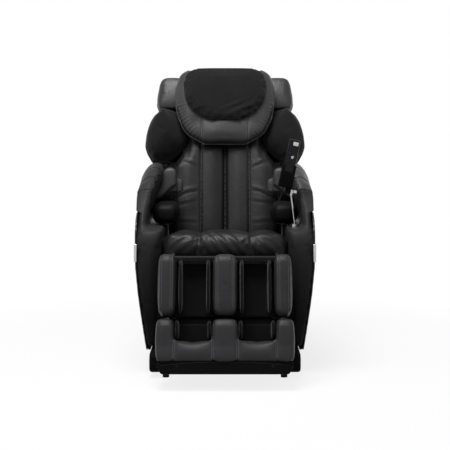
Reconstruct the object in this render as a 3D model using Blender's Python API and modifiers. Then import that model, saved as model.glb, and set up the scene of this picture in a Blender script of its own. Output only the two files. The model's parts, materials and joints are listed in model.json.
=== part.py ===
"""Massage chair: a reclining upholstered armchair with a leg rest, a roller massage
mechanism in the back and a handset on a stalk. Metres, +Z up, the front faces -Y,
left and right are as seen from the front (left is -X)."""

import math

import bmesh
import bpy
from mathutils import Matrix, Vector

# Joint axes and rest angles
SHIFT_Y = -0.027                      # puts the middle of the whole box at Y = 0
BACK_PIVOT = Vector((0.0, 0.22, 0.42))
BACK_LEAN = math.radians(22.0)        # back from the vertical at rest
CALF_PIVOT = Vector((0.0, -0.32, 0.46))
CALF_LEAN = math.radians(18.0)        # foot end forward of the knee at rest
BACK_LEVER_LEAN = math.radians(20.0)  # half of the recline range
BACK_LEVER_DROP = 0.12                # rod line below the recline axis
CALF_LEVER_LEAN = math.radians(35.0)  # half of the leg lift range
CALF_LEVER_DROP = 0.11                # rod line below the leg lift axis

# Shared sizes
FIT = 0.0003                          # gap between pieces that touch
PIN_RADIUS = 0.010                    # recline pins
KNEE_PIN_RADIUS = 0.008               # leg lift pins
ROD_RADIUS = 0.010
ROD_PIN_RADIUS = 0.005
ROD_X = 0.05                          # actuators stand this far either side of the middle
LEVER_X = (0.071, 0.079)              # lever plates beside the rods
FOOT_RADIUS = 0.013
FOOT_HEIGHT = 0.03
ARM_INSIDE = 0.2455                   # seat side of the arms
ARM_OUTER = 0.352                     # widest line of the outer shells
ARM_BOTTOM = 0.10
SHELL_BOTTOM = 0.088
SHELL_TOP = 0.63
ARM_FLOOR = 0.565                     # floor of the forearm channel
ARM_PAD_TOP = ARM_FLOOR + 0.09
HOOD_HEIGHT = 0.250                   # of the hood's crown over the channel floor
SHELL_THICKNESS = 0.008
RAIL_X = (ARM_INSIDE - 0.0305, ARM_INSIDE - 0.0033)    # base rails, inside and outside faces
POST_X = (ARM_INSIDE - 0.0452, ARM_INSIDE - 0.0202)    # posts on the base
SEAT_PAN_TOP = 0.415
PAN_HALF = ARM_INSIDE - 0.0195        # half width of the seat pan
BRACKET_X = (PAN_HALF - 0.031, PAN_HALF - 0.021)       # leg rest brackets under the seat
BACK_RAIL_X = (POST_X[0] - 0.0403, POST_X[0] - 0.0156)  # side rails of the back frame
GUIDE_X = BACK_RAIL_X[0] - 0.03       # guide rods of the massage carriage
PAD_REAR = -0.0453                    # back pad's rear face, in the back's own frame
PAD_FRONT = -0.105
PAD_WIDE = ARM_INSIDE - 0.0045        # half width of the back pad between the arms
PAD_NARROW = BACK_RAIL_X[1] + FIT     # half width between the shoulder pods
POD_INSIDE = PAD_NARROW + 0.0012
SHOULDER = (0.395, 0.495)            # where the back pad narrows under the pods, up its own frame
ROLLER_RADIUS = 0.025
HANDSET_LEAN = math.radians(12.0)     # to the right, as seen from the front

BACK_FRAME = Matrix.Translation(BACK_PIVOT) @ Matrix.Rotation(-BACK_LEAN, 4, "X")
CALF_FRAME = Matrix.Translation(CALF_PIVOT) @ Matrix.Rotation(-CALF_LEAN, 4, "X")
REMOTE_PIVOT = Vector((ARM_INSIDE - 0.0095, -0.15, ARM_FLOOR + 0.5 * HOOD_HEIGHT + 0.022))
REMOTE_FRAME = Matrix.Translation(REMOTE_PIVOT) @ Matrix.Rotation(HANDSET_LEAN, 4, "Y")
WORLD = Matrix.Identity(4)
SIDES = (("left", -1), ("right", 1))


# Scene and collections
for old in list(bpy.data.objects):
    bpy.data.objects.remove(old)

PARTS = bpy.data.collections.new("massage_chair")
CUTTERS = bpy.data.collections.new("cutters")
bpy.context.scene.collection.children.link(PARTS)
bpy.context.scene.collection.children.link(CUTTERS)


# Materials
def material(name, colour, roughness, metallic=0.0):
    made = bpy.data.materials.new(name)
    made.use_nodes = True
    shader = made.node_tree.nodes["Principled BSDF"]
    shader.inputs["Base Color"].default_value = (*colour, 1.0)
    shader.inputs["Roughness"].default_value = roughness
    shader.inputs["Metallic"].default_value = metallic
    return made


LEATHER = material("leather", (0.045, 0.045, 0.047), 0.45)
FABRIC = material("fabric", (0.012, 0.012, 0.013), 0.9)
GLOSS = material("gloss_plastic", (0.01, 0.01, 0.011), 0.15)
PLASTIC = material("matt_plastic", (0.02, 0.02, 0.021), 0.5)
STEEL = material("painted_steel", (0.05, 0.05, 0.055), 0.5, 0.6)
BRIGHT = material("bright_metal", (0.75, 0.75, 0.77), 0.2, 1.0)
RUBBER = material("rubber", (0.015, 0.015, 0.015), 0.85)


# Shapes
def box(low, high):
    """A plain box between two corners."""
    shape = bmesh.new()
    size = Vector(high) - Vector(low)
    middle = (Vector(high) + Vector(low)) / 2
    place = Matrix.Translation(middle) @ Matrix.Diagonal((*size, 1.0))
    bmesh.ops.create_cube(shape, size=1.0, matrix=place)
    return shape


def soft_edges(shape, width, segments=2):
    """Rounds every edge that isn't nearly flat."""
    sharp = [edge for edge in shape.edges if edge.calc_face_angle(0.0) > 0.5]
    bmesh.ops.bevel(shape, geom=sharp, offset=width, segments=segments, profile=0.5,
                    affect="EDGES", material=-1)
    return shape


def rod(start, end, radius, segments=16):
    """A round bar between two points."""
    start = Vector(start)
    end = Vector(end)
    shape = bmesh.new()
    turn = (end - start).to_track_quat("Z", "Y").to_matrix().to_4x4()
    bmesh.ops.create_cone(shape, cap_ends=True, segments=segments, radius1=radius, radius2=radius,
                          depth=(end - start).length, matrix=Matrix.Translation((start + end) / 2) @ turn)
    return shape


def mesh_of(curve):
    """The welded mesh of a curve."""
    holder = bpy.data.objects.new("outline", curve)
    mesh = bpy.data.meshes.new_from_object(holder)
    bpy.data.objects.remove(holder)
    shape = bmesh.new()
    shape.from_mesh(mesh)
    bmesh.ops.remove_doubles(shape, verts=shape.verts, dist=0.00002)
    return shape


def prism(outline, low, high, axis):
    """A flat outline pushed along X (outline in Y, Z), Y (in X, Z) or Z (in X, Y)."""
    curve = bpy.data.curves.new("outline", "CURVE")
    curve.dimensions = "2D"
    curve.fill_mode = "BOTH"
    curve.extrude = (high - low) / 2
    line = curve.splines.new("POLY")
    line.points.add(len(outline) - 1)
    for point, (across, up) in zip(line.points, outline):
        point.co = (across, up, 0.0, 1.0)
    line.use_cyclic_u = True
    shape = mesh_of(curve)
    middle = (low + high) / 2
    for vert in shape.verts:
        across, up, along = vert.co
        if axis == "X":
            vert.co = (along + middle, across, up)
        elif axis == "Y":
            vert.co = (across, along + middle, up)
        else:
            vert.co = (across, up, along + middle)
    return shape


def bent_tube(points, radius, sides=2):
    """A round tube along a line of points."""
    curve = bpy.data.curves.new("path", "CURVE")
    curve.dimensions = "3D"
    curve.bevel_depth = radius
    curve.bevel_resolution = sides
    curve.use_fill_caps = True
    line = curve.splines.new("POLY")
    line.points.add(len(points) - 1)
    for point, place in zip(line.points, points):
        point.co = (*place, 1.0)
    return mesh_of(curve)


def capsule(start, end, radius, low, high, steps=6):
    """A plate with two round ends, its outline in Y and Z."""
    start = Vector(start)
    end = Vector(end)
    along = (end - start).normalized()
    angle = math.atan2(along.y, along.x)
    outline = []
    for centre, first in ((end, -math.pi / 2), (start, math.pi / 2)):
        for step in range(steps + 1):
            turn = angle + first + math.pi * step / steps
            outline.append((centre.x + radius * math.cos(turn), centre.y + radius * math.sin(turn)))
    return prism(outline, low, high, "X")


def pillow_form(low, high, cells, power, shaped=None):
    """A stuffed block: a divided box drawn in at its edges, then shaped point by point.
    The shaping takes the point and its place in the box, from -1 to 1 each way."""
    shape = bmesh.new()
    bmesh.ops.create_cube(shape, size=2.0)
    for axis, count in enumerate(cells):
        if count < 2:
            continue
        lines = []
        for edge in shape.edges:
            run = edge.verts[1].co - edge.verts[0].co
            if abs(run[axis]) > max(abs(run[(axis + 1) % 3]), abs(run[(axis + 2) % 3])):
                lines.append(edge)
        bmesh.ops.subdivide_edges(shape, edges=lines, cuts=count - 1, use_grid_fill=True)
    middle = (Vector(low) + Vector(high)) / 2
    half = (Vector(high) - Vector(low)) / 2
    for vert in shape.verts:
        place = vert.co.copy()
        spread = sum(abs(value) ** power for value in place) ** (1.0 / power)
        drawn = place / spread
        point = Vector([middle[i] + half[i] * drawn[i] for i in range(3)])
        vert.co = shaped(point, place) if shaped else point
    return shape


def loft(sections):
    """Joins rings of equal length into one closed form with flat ends."""
    shape = bmesh.new()
    rings = [[shape.verts.new(point) for point in ring] for ring in sections]
    for one, two in zip(rings, rings[1:]):
        for index in range(len(one)):
            after = (index + 1) % len(one)
            shape.faces.new((one[index], one[after], two[after], two[index]))
    shape.faces.new(rings[0])
    shape.faces.new(reversed(rings[-1]))
    return shape


def joined(shapes):
    """Several shapes in one mesh."""
    whole = bmesh.new()
    for shape in shapes:
        mesh = bpy.data.meshes.new("piece")
        bmesh.ops.recalc_face_normals(shape, faces=shape.faces)
        shape.to_mesh(mesh)
        shape.free()
        whole.from_mesh(mesh)
        bpy.data.meshes.remove(mesh)
    return whole


def mirrored(shape, sign):
    """The shape itself for the right side, its mirror image for the left."""
    if sign < 0:
        for vert in shape.verts:
            vert.co.x = -vert.co.x
    return shape


def mesh_object(name, shape, frame, collection):
    bmesh.ops.transform(shape, matrix=Matrix.Translation((0.0, SHIFT_Y, 0.0)) @ frame, verts=shape.verts)
    bmesh.ops.recalc_face_normals(shape, faces=shape.faces)
    mesh = bpy.data.meshes.new(name)
    shape.to_mesh(mesh)
    shape.free()
    made = bpy.data.objects.new(name, mesh)
    collection.objects.link(made)
    return made


def apply_shape(target, shape, operation, frame):
    """Adds a Boolean with a hidden helper."""
    helper = mesh_object(f"{target.name}_{operation.lower()}", shape, frame, CUTTERS)
    helper.hide_render = True
    helper.display_type = "WIRE"
    change = target.modifiers.new(operation.lower(), "BOOLEAN")
    change.operation = operation
    change.solver = "EXACT"
    change.use_self = True
    change.object = helper


def part(name, finish, axis, shapes, frame=WORLD, add=(), keep=(), cut=(), round_off=0.0, smooth=False):
    """One named sub-part: its shapes, what is welded on, kept and cut, and its finish."""
    made = mesh_object(name, joined(shapes), frame, PARTS)
    if add:
        apply_shape(made, joined(add), "UNION", frame)
    if keep:
        apply_shape(made, joined(keep), "INTERSECT", frame)
    if cut:
        apply_shape(made, joined(cut), "DIFFERENCE", frame)
    if round_off:
        bevel = made.modifiers.new("round_off", "BEVEL")
        bevel.width = round_off
        bevel.segments = 2
        bevel.limit_method = "ANGLE"
        bevel.angle_limit = math.radians(40.0)
    made.data.materials.append(finish)
    if smooth:
        made.data.shade_smooth()
    made.parent = axis
    made.matrix_parent_inverse = AXIS_PLACES[axis.name].inverted()
    return made


AXIS_PLACES = {}


def axis_empty(name, frame, point, carrier=None):
    """An empty on a joint axis, carried by the empty of the piece that it moves with."""
    place = Matrix.Translation((0.0, SHIFT_Y, 0.0)) @ frame @ Matrix.Translation(point)
    made = bpy.data.objects.new(name, None)
    made.empty_display_size = 0.03
    PARTS.objects.link(made)
    AXIS_PLACES[name] = place
    if carrier:
        made.parent = carrier
        made.matrix_basis = AXIS_PLACES[carrier.name].inverted() @ place
    else:
        made.matrix_basis = place
    return made


def groove(distance, width, depth):
    """How far a seam draws the surface in, at a distance from its line."""
    return depth * math.exp(-((distance / width) ** 2))


# Joint axes
BASE = axis_empty("axis_base", WORLD, (0, 0, 0))
BACK = axis_empty("axis_back_recline", BACK_FRAME, (0, 0, 0), BASE)
CARRIAGE = axis_empty("axis_carriage_slide", BACK_FRAME, (0, 0.035, 0.35), BACK)
ROCKER = axis_empty("axis_roller_rock", BACK_FRAME, (0, -0.003, 0.35), CARRIAGE)
UPPER = axis_empty("axis_upper_rollers", BACK_FRAME, (0, -0.008, 0.42), ROCKER)
LOWER = axis_empty("axis_lower_rollers", BACK_FRAME, (0, -0.008, 0.28), ROCKER)
PILLOW = axis_empty("axis_pillow_flip", BACK_FRAME, (0, -0.1052, 0.785), BACK)
CALF = axis_empty("axis_calf_lift", CALF_FRAME, (0, 0, 0), BASE)
FOOT = axis_empty("axis_foot_extend", CALF_FRAME, (0, -0.013, -0.25), CALF)
BACK_ROD_Z = BACK_PIVOT.z - BACK_LEVER_DROP
BACK_ROD_END = BACK_PIVOT.y + BACK_LEVER_DROP * math.tan(BACK_LEVER_LEAN)
LEG_ROD_Z = CALF_PIVOT.z - CALF_LEVER_DROP
LEG_ROD_END = CALF_PIVOT.y + CALF_LEVER_DROP * math.tan(CALF_LEVER_LEAN)
BACK_ROD = axis_empty("axis_back_rod", WORLD, (-ROD_X, BACK_ROD_END, BACK_ROD_Z), BASE)
LEG_ROD = axis_empty("axis_leg_rod", WORLD, (ROD_X, LEG_ROD_END, LEG_ROD_Z), BASE)
SWITCH_AT = Vector((-0.06, 0.4125, 0.135))
SWITCH = axis_empty("axis_power_switch", WORLD, SWITCH_AT, BASE)
WHEEL_AT = Vector((RAIL_X[0] - 0.03, 0.385, 0.038))
WHEELS = [axis_empty(f"axis_wheel_{side}", WORLD, (sign * WHEEL_AT.x, WHEEL_AT.y, WHEEL_AT.z), BASE)
          for side, sign in SIDES]
HOLDER = axis_empty("axis_holder_tilt", REMOTE_FRAME, (0, 0, 0), BASE)
KNOB = axis_empty("axis_knob_turn", REMOTE_FRAME, (0.04, 0, 0), BASE)
HANDSET = axis_empty("axis_handset_lift", REMOTE_FRAME, (0, 0, 0.10), HOLDER)
BUTTON = axis_empty("axis_handset_button", REMOTE_FRAME, (0.004, -0.017, 0.135), HANDSET)


# Base frame: rails, cross bars, floor plate, posts and actuator stands
def base_frame():
    reach = RAIL_X[0] + 0.005
    rail = box((RAIL_X[0], -0.365, FOOT_HEIGHT), (RAIL_X[1], 0.42, 0.075))
    extras = [mirrored(box((RAIL_X[0], -0.365, FOOT_HEIGHT), (RAIL_X[1], 0.42, 0.075)), -1)]
    for middle in (-0.30, 0.0, 0.325):
        extras.append(box((-reach, middle - 0.015, 0.035), (reach, middle + 0.015, 0.0695)))
    extras.append(box((-reach, -0.01, 0.06), (reach, 0.338, 0.07)))
    for sign in (-1, 1):
        for middle, top in ((-0.17, 0.3847), (0.08, 0.3847), (0.22, 0.445)):
            post = box((POST_X[0], middle - 0.0155, 0.04), (POST_X[1], middle + 0.0155, top))
            extras.append(mirrored(post, sign))
        for middle in (-0.17, 0.08):
            extras.append(mirrored(box((POST_X[1] - 0.005, middle - 0.0135, 0.22),
                                       (ARM_INSIDE - FIT, middle + 0.0135, 0.30)), sign))
        axle = rod(WHEEL_AT - Vector((0.035, 0, 0)), (reach, WHEEL_AT.y, WHEEL_AT.z), 0.006, 10)
        extras.append(mirrored(axle, sign))
    for across, height, ends in ((-ROD_X, BACK_ROD_Z, (-0.14, 0.035)), (ROD_X, LEG_ROD_Z, (-0.09, 0.085))):
        for end in ends:
            extras.append(box((across - 0.012, end - 0.0125, 0.065),
                              (across + 0.012, end + 0.0125, height - 0.0222)))
        extras.append(box((across - 0.0115, -0.31, 0.04), (across + 0.0115, 0.0, 0.068)))
    bores = [mirrored(rod((POST_X[0] - 0.01, BACK_PIVOT.y, BACK_PIVOT.z),
                          (POST_X[1] + 0.01, BACK_PIVOT.y, BACK_PIVOT.z), PIN_RADIUS + FIT), sign)
             for sign in (-1, 1)]
    part("base_frame", STEEL, BASE, [rail], add=extras, cut=bores)


base_frame()

for side, sign in SIDES:
    across = sign * (RAIL_X[0] + RAIL_X[1]) / 2
    part(f"front_foot_{side}", RUBBER, BASE,
         [rod((across, -0.345, 0.0), (across, -0.345, FOOT_HEIGHT - FIT), FOOT_RADIUS, 14)])
STRIP_HALF = RAIL_X[1] - 0.007
part("rear_foot_strip", RUBBER, BASE, [box((-STRIP_HALF, 0.295, 0.0), (STRIP_HALF, 0.325, FOOT_HEIGHT - FIT))])

for side, sign in SIDES:
    cover = [(-0.372, 0.026), (-0.378, 0.05), (-0.372, 0.085), (-0.350, 0.0985), (0.40, 0.0985), (0.425, 0.08),
             (0.425, 0.035), (0.41, 0.022), (-0.366, 0.022)]
    part(f"base_cover_{side}", PLASTIC, BASE,
         [mirrored(prism(cover, RAIL_X[1] + FIT, RAIL_X[1] + 0.05, "X"), sign)],
         cut=[mirrored(box((RAIL_X[0], -0.355, 0.0), (RAIL_X[1] + 0.045, 0.405, 0.094)), sign)],
         round_off=0.004)

for (side, sign), axis in zip(SIDES, WHEELS):
    inside = WHEEL_AT - Vector((0.033, 0, 0))
    outside = WHEEL_AT + Vector((0.015, 0, 0))
    bore = rod(WHEEL_AT - Vector((0.045, 0, 0)), WHEEL_AT + Vector((0.025, 0, 0)), 0.0064, 10)
    part(f"wheel_{side}", RUBBER, axis, [mirrored(soft_edges(rod(inside, outside, 0.033, 20), 0.005), sign)],
         cut=[mirrored(bore, sign)])


# Seat frame with the leg rest's brackets
def seat_frame():
    pan = box((-PAN_HALF, -0.212, 0.385), (PAN_HALF, 0.13, SEAT_PAN_TOP))
    bracket = [(-0.18, 0.386), (-0.18, 0.4142), (-0.293, 0.4142), (-0.300, 0.470), (-0.31, 0.4795),
               (-0.328, 0.4785), (-0.339, 0.463), (-0.335, 0.445), (-0.302, 0.386)]
    extras = [mirrored(prism(bracket, BRACKET_X[0], BRACKET_X[1], "X"), sign) for sign in (-1, 1)]
    hollow = box((0.036 - PAN_HALF, -0.18, 0.36), (PAN_HALF - 0.036, 0.10, 0.411))
    bores = [mirrored(rod((BRACKET_X[0] - 0.005, CALF_PIVOT.y, CALF_PIVOT.z),
                          (BRACKET_X[1] + 0.005, CALF_PIVOT.y, CALF_PIVOT.z), KNEE_PIN_RADIUS + FIT, 14), sign)
             for sign in (-1, 1)]
    part("seat_frame", STEEL, BASE, [pan], add=extras, cut=[hollow] + bores)


seat_frame()


def seat_shape(point, place):
    """The front rolls up, the rear dips, two seams run back and the crown falls to the sides."""
    top = max(0.0, place.z)
    front = max(0.0, -place.y)
    point.z -= top * 0.030 * (0.5 + 0.5 * place.y)
    seam = groove(abs(point.x) - 0.105, 0.012, 0.010)
    point.z -= top * seam
    point.y += front * max(0.0, 1.0 - top * 0.7) * seam
    return point


SEAT_HALF = ARM_INSIDE - 0.003
SEAT_LOW = (-SEAT_HALF, -0.285, SEAT_PAN_TOP + FIT)
SEAT_HIGH = (SEAT_HALF, 0.142, 0.553)
part("seat_cushion", LEATHER, BASE, [pillow_form(SEAT_LOW, SEAT_HIGH, (16, 7, 3), 6.0, seat_shape)],
     smooth=True)

# Hinge shafts held in the posts and in the brackets
for name, centre, end, radius in (("recline_shaft", BACK_PIVOT, POST_X[1] + 0.0067, PIN_RADIUS),
                                  ("knee_shaft", CALF_PIVOT, BRACKET_X[1] + 0.017, KNEE_PIN_RADIUS)):
    part(name, STEEL, BASE, [rod((-end, centre.y, centre.z), (end, centre.y, centre.z), radius)])

# Control box with its inlet recess, the rocker switch and the air pump
CONTROL_LOW = (-0.13, 0.28, 0.07 + FIT)
CONTROL_HIGH = (0.05, 0.4075, 0.17)
part("control_box", PLASTIC, BASE, [soft_edges(box(CONTROL_LOW, CONTROL_HIGH), 0.006)],
     cut=[box((-0.072, 0.393, 0.121), (-0.048, 0.42, 0.149)), box((-0.015, 0.390, 0.12), (0.020, 0.42, 0.15))])
rocker = [(SWITCH_AT.y - 0.010, 0.1225), (SWITCH_AT.y - 0.002, 0.1225), (SWITCH_AT.y - 0.0048, 0.135),
          (SWITCH_AT.y + 0.001, 0.1475), (SWITCH_AT.y - 0.010, 0.1475)]
part("power_switch", PLASTIC, SWITCH, [prism(rocker, -0.0717, -0.0483, "X")])
part("air_pump", PLASTIC, BASE, [soft_edges(box((0.065, 0.09, 0.07 + FIT), (0.185, 0.25, 0.165)), 0.01)],
     add=[rod((0.125, 0.24, 0.12), (0.125, 0.275, 0.12), 0.012, 12)])


# Recline and leg actuators: fixed tubes, sliding rods, each rod's cross pin in a slotted lever
def actuator(name, across, height, start, mouth, bore_end):
    part(name, PLASTIC, BASE, [rod((across, start, height), (across, mouth, height), 0.022, 18)],
         cut=[rod((across, bore_end, height), (across, mouth + 0.02 * (1 if mouth > start else -1), height),
                  ROD_RADIUS + 2 * FIT)])


def sliding_rod(name, axis, across, height, inner, tip, side):
    pin = rod((across, tip, height), (across + side * 0.036, tip, height), ROD_PIN_RADIUS, 12)
    end = 0.011 if tip > inner else -0.011
    part(name, BRIGHT, axis, [rod((across, inner, height), (across, tip + end, height), ROD_RADIUS)], add=[pin])


actuator("back_actuator", -ROD_X, BACK_ROD_Z, -0.16, 0.06, -0.14)
sliding_rod("back_rod", BACK_ROD, -ROD_X, BACK_ROD_Z, -0.045, BACK_ROD_END, -1)
actuator("leg_actuator", ROD_X, LEG_ROD_Z, 0.11, -0.12, 0.09)
sliding_rod("leg_rod", LEG_ROD, ROD_X, LEG_ROD_Z, 0.06, LEG_ROD_END, 1)

# Arms: outer shells, padded bodies, hoods and pads
SHELL_LINE = [(ARM_OUTER - 0.041, SHELL_BOTTOM), (ARM_OUTER - 0.030, 0.165), (ARM_OUTER - 0.0195, 0.243),
              (ARM_OUTER - 0.0095, 0.321), (ARM_OUTER - 0.002, 0.41), (ARM_OUTER, 0.50),
              (ARM_OUTER - 0.001, 0.60), (ARM_OUTER - 0.002, SHELL_TOP)]
SHELL_SIDE = [(-0.262, SHELL_BOTTOM), (-0.280, 0.25), (-0.286, 0.45), (-0.278, 0.56), (-0.245, 0.605),
              (-0.20, SHELL_TOP), (0.43, SHELL_TOP), (0.475, 0.60), (0.49, 0.52), (0.483, 0.42), (0.445, 0.25),
              (0.38, SHELL_BOTTOM)]
BODY_SIDE = [(-0.276, ARM_BOTTOM + 0.002), (-0.292, 0.25), (-0.297, 0.45), (-0.292, 0.53), (-0.270, ARM_FLOOR),
             (0.46, ARM_FLOOR), (0.48, 0.52), (0.473, 0.42), (0.435, 0.25), (0.37, ARM_BOTTOM + 0.002)]
BODY_CORNER = [(ARM_INSIDE - 0.02, -0.235), (ARM_INSIDE - 0.001, -0.240), (ARM_INSIDE + 0.003, -0.262),
               (ARM_INSIDE + 0.012, -0.281), (ARM_INSIDE + 0.028, -0.294), (ARM_INSIDE + 0.050, -0.302),
               (ARM_INSIDE + 0.050, -0.35), (ARM_INSIDE - 0.02, -0.35)]
HOOD_OUTER = ARM_OUTER - 0.0145
HOOD_LIP = ARM_INSIDE + 0.0105
HOOD_INNER = HOOD_OUTER - 0.30 * (HOOD_OUTER - HOOD_LIP)
# Height of the hood along Y, as a share of its full height
HOOD_TOP = [(-0.262, 0.016), (-0.245, 0.14), (-0.205, 0.32), (-0.15, 0.50), (-0.08, 0.72), (0.0, 0.904),
            (0.08, 1.0), (0.15, 0.992), (0.22, 0.912), (0.32, 0.80), (0.41, 0.56), (0.455, 0.32), (0.47, 0.12)]
# Full section, as shares of the way from the outer face to the lip and of the full height
HOOD_SECTION = [(0.0, 0.0), (0.0, 0.26), (-0.13, 0.40), (-0.15, 0.52), (-0.13, 0.62), (-0.05, 0.74), (0.08, 0.85),
                (0.25, 0.94), (0.45, 0.988), (0.68, 1.0), (0.89, 0.972), (1.0, 0.90), (0.98, 0.80), (0.84, 0.68),
                (0.66, 0.54), (0.49, 0.34), (0.35, 0.14), (0.30, 0.0)]


def hood_rings(sign):
    """The hood's section grows up out of the channel floor, curls over the elbow and sinks again."""
    rings = []
    for along, share in HOOD_TOP:
        ring = []
        for inward, up in HOOD_SECTION:
            wall = HOOD_OUTER if inward < 0.27 else HOOD_INNER
            curl = HOOD_OUTER - inward * (HOOD_OUTER - HOOD_LIP) - wall
            rise = ARM_FLOOR + FIT + up * share * HOOD_HEIGHT
            ring.append((sign * (wall + curl * share ** 2.2), along, rise))
        rings.append(ring)
    return rings


def hood_clearance(sign):
    """The hood moved a millimetre in and down, to cut what fills the space under it."""
    return loft([[(x - sign * 0.001, y, z - 0.001) for x, y, z in ring] for ring in hood_rings(sign)])


ARM_PAD_LOW = (ARM_INSIDE - 0.0735, -0.09, ARM_FLOOR + FIT)
ARM_PAD_HIGH = (HOOD_INNER - 0.016, 0.125, ARM_PAD_TOP)
LEAF_LOW = (ARM_INSIDE - 0.0425, 0.05, ARM_PAD_TOP - 0.0008)
LEAF_HIGH = (HOOD_LIP - FIT, 0.095, ARM_FLOOR + 0.92 * HOOD_HEIGHT)
HIP_LOW = (ARM_INSIDE - 0.0695, 0.080, ARM_PAD_TOP + 0.002)
HIP_HIGH = (ARM_INSIDE - 0.0055, 0.119, ARM_FLOOR + 0.748 * HOOD_HEIGHT)
ELBOW_LOW = (ARM_INSIDE - 0.008, 0.088, ARM_PAD_TOP + 0.001)
ELBOW_HIGH = (HOOD_INNER, 0.150, ARM_FLOOR + 0.93 * HOOD_HEIGHT)
for side, sign in SIDES:
    band = [(across, up) for across, up in SHELL_LINE]
    band += [(across - SHELL_THICKNESS, up) for across, up in reversed(SHELL_LINE)]
    part(f"arm_shell_{side}", GLOSS, BASE, [mirrored(prism(band, -0.5, 0.6, "Y"), sign)],
         keep=[mirrored(prism(SHELL_SIDE, 0.2, 0.45, "X"), sign)], round_off=0.0015)
    inside = [(ARM_INSIDE, 0.05)]
    inside += [(across - SHELL_THICKNESS - FIT, up) for across, up in SHELL_LINE[:-1]]
    inside += [(ARM_INSIDE, SHELL_LINE[-2][1])]
    inside[1] = (SHELL_LINE[0][0] - SHELL_THICKNESS - FIT - 0.01, 0.05)
    inside.insert(2, (SHELL_LINE[0][0] - SHELL_THICKNESS - FIT, SHELL_BOTTOM))
    part(f"arm_body_{side}", LEATHER, BASE, [mirrored(prism(inside, -0.5, 0.6, "Y"), sign)],
         keep=[mirrored(prism(BODY_SIDE, 0.2, 0.45, "X"), sign)],
         cut=[mirrored(prism(BODY_CORNER, 0.0, 0.7, "Z"), sign)], round_off=0.010, smooth=False)
    part(f"arm_hood_{side}", LEATHER, BASE, [loft(hood_rings(sign))], smooth=True)
    part(f"arm_pad_{side}", LEATHER, BASE,
         [mirrored(pillow_form(ARM_PAD_LOW, ARM_PAD_HIGH, (5, 6, 4), 4.0), sign)],
         smooth=True)
    part(f"arm_flap_{side}", LEATHER, BASE,
         [mirrored(pillow_form(LEAF_LOW, LEAF_HIGH, (3, 2, 5), 5.0), sign)],
         add=[mirrored(pillow_form(low, high, (2, 2, 4), 4.0), sign)
              for low, high in ((HIP_LOW, HIP_HIGH), (ELBOW_LOW, ELBOW_HIGH))],
         cut=[hood_clearance(sign)], smooth=True)


# Back frame: side rails, cross bars, guide rails, shoulder plates and the slotted recline lever
def back_frame():
    rail = box((BACK_RAIL_X[0], -0.0450, -0.03), (BACK_RAIL_X[1], 0.055, 0.79))
    extras = [mirrored(box((BACK_RAIL_X[0], -0.0450, -0.03), (BACK_RAIL_X[1], 0.055, 0.79)), -1)]
    inner = BACK_RAIL_X[0] + 0.01
    extras.append(box((-inner, -0.016, -0.02), (inner, 0.02, 0.02)))
    extras.append(box((-inner, 0.02, 0.06), (inner, 0.0545, 0.09)))
    extras.append(box((-inner, -0.0445, 0.765), (inner, 0.0545, 0.785)))
    for sign in (-1, 1):
        extras.append(mirrored(rod((GUIDE_X, 0.035, 0.08), (GUIDE_X, 0.035, 0.775), 0.008, 12), sign))
        extras.append(mirrored(box((inner, 0.0403, 0.415), (0.325, 0.0545, 0.60)), sign))
        extras.append(mirrored(box((inner, 0.0253, 0.62), (0.285, 0.0545, 0.78)), sign))
    lever = BACK_LEAN + BACK_LEVER_LEAN
    aim = Vector((math.sin(lever), -math.cos(lever)))
    extras.append(capsule(aim * 0.0, aim * 0.135, 0.022, -LEVER_X[1], -LEVER_X[0]))
    reach = BACK_LEVER_DROP / math.cos(BACK_LEVER_LEAN)
    slot = capsule(aim * (BACK_LEVER_DROP - 0.003), aim * (reach + 0.003), 0.0085, -0.1, -0.06)
    bore = rod((-POST_X[0], 0, 0), (POST_X[0], 0, 0), PIN_RADIUS + 2 * FIT)
    part("back_frame", STEEL, BACK, [rail], BACK_FRAME, add=extras, cut=[bore, slot])


back_frame()


def rear_cover():
    neck = ARM_INSIDE - 0.032
    outline = [(0.0235 - neck, 0.06), (0.0065 - neck, 0.075), (-neck, 0.12), (-neck, 0.385), (-0.25, 0.425),
               (-0.315, 0.45), (-0.328, 0.48), (-0.325, 0.56), (-0.30, 0.62), (-0.292, 0.70), (-0.27, 0.765),
               (-0.20, 0.805)]
    outline = outline + [(-across, up) for across, up in reversed(outline)]
    shell = prism(outline, 0.0553, 0.135, "Y")
    rear = [vert for vert in shell.verts if vert.co.y > 0.1]
    for vert in rear:
        vert.co.x *= 0.86
        vert.co.z = 0.43 + (vert.co.z - 0.43) * 0.92
    hollow = prism(outline, 0.04, 0.130, "Y")
    for vert in hollow.verts:
        shrink = 0.86 if vert.co.y > 0.1 else 1.0
        vert.co.x *= shrink * 0.965
        vert.co.z = 0.43 + (vert.co.z - 0.43) * (0.97 if shrink == 1.0 else 0.895)
    part("rear_cover", GLOSS, BACK, [shell], BACK_FRAME, cut=[hollow], round_off=0.006)


rear_cover()


def narrowing(height):
    """From 0 where the back pad fills the space between the arms to 1 between the pods."""
    rise = min(1.0, max(0.0, (height - SHOULDER[0]) / (SHOULDER[1] - SHOULDER[0])))
    return rise * rise * (3.0 - 2.0 * rise)


def back_shape(point, place):
    """Narrower between the shoulder pods; a deep channel down the middle, a seam either side."""
    front = max(0.0, -place.y)
    point.x *= 1.0 - (1.0 - PAD_NARROW / PAD_WIDE) * narrowing(point.z)
    point.y += front * groove(point.x, 0.016, 0.024)
    point.y += front * groove(abs(point.x) - 0.108, 0.010, 0.009)
    point.y += front * 0.012 * max(0.0, abs(place.x) - 0.55) ** 2 * 4
    return point


part("back_pad", LEATHER, BACK,
     [pillow_form((-PAD_WIDE, PAD_FRONT, 0.012), (PAD_WIDE, PAD_REAR, 0.80), (22, 2, 14), 8.0, back_shape)],
     BACK_FRAME, smooth=True)


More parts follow.
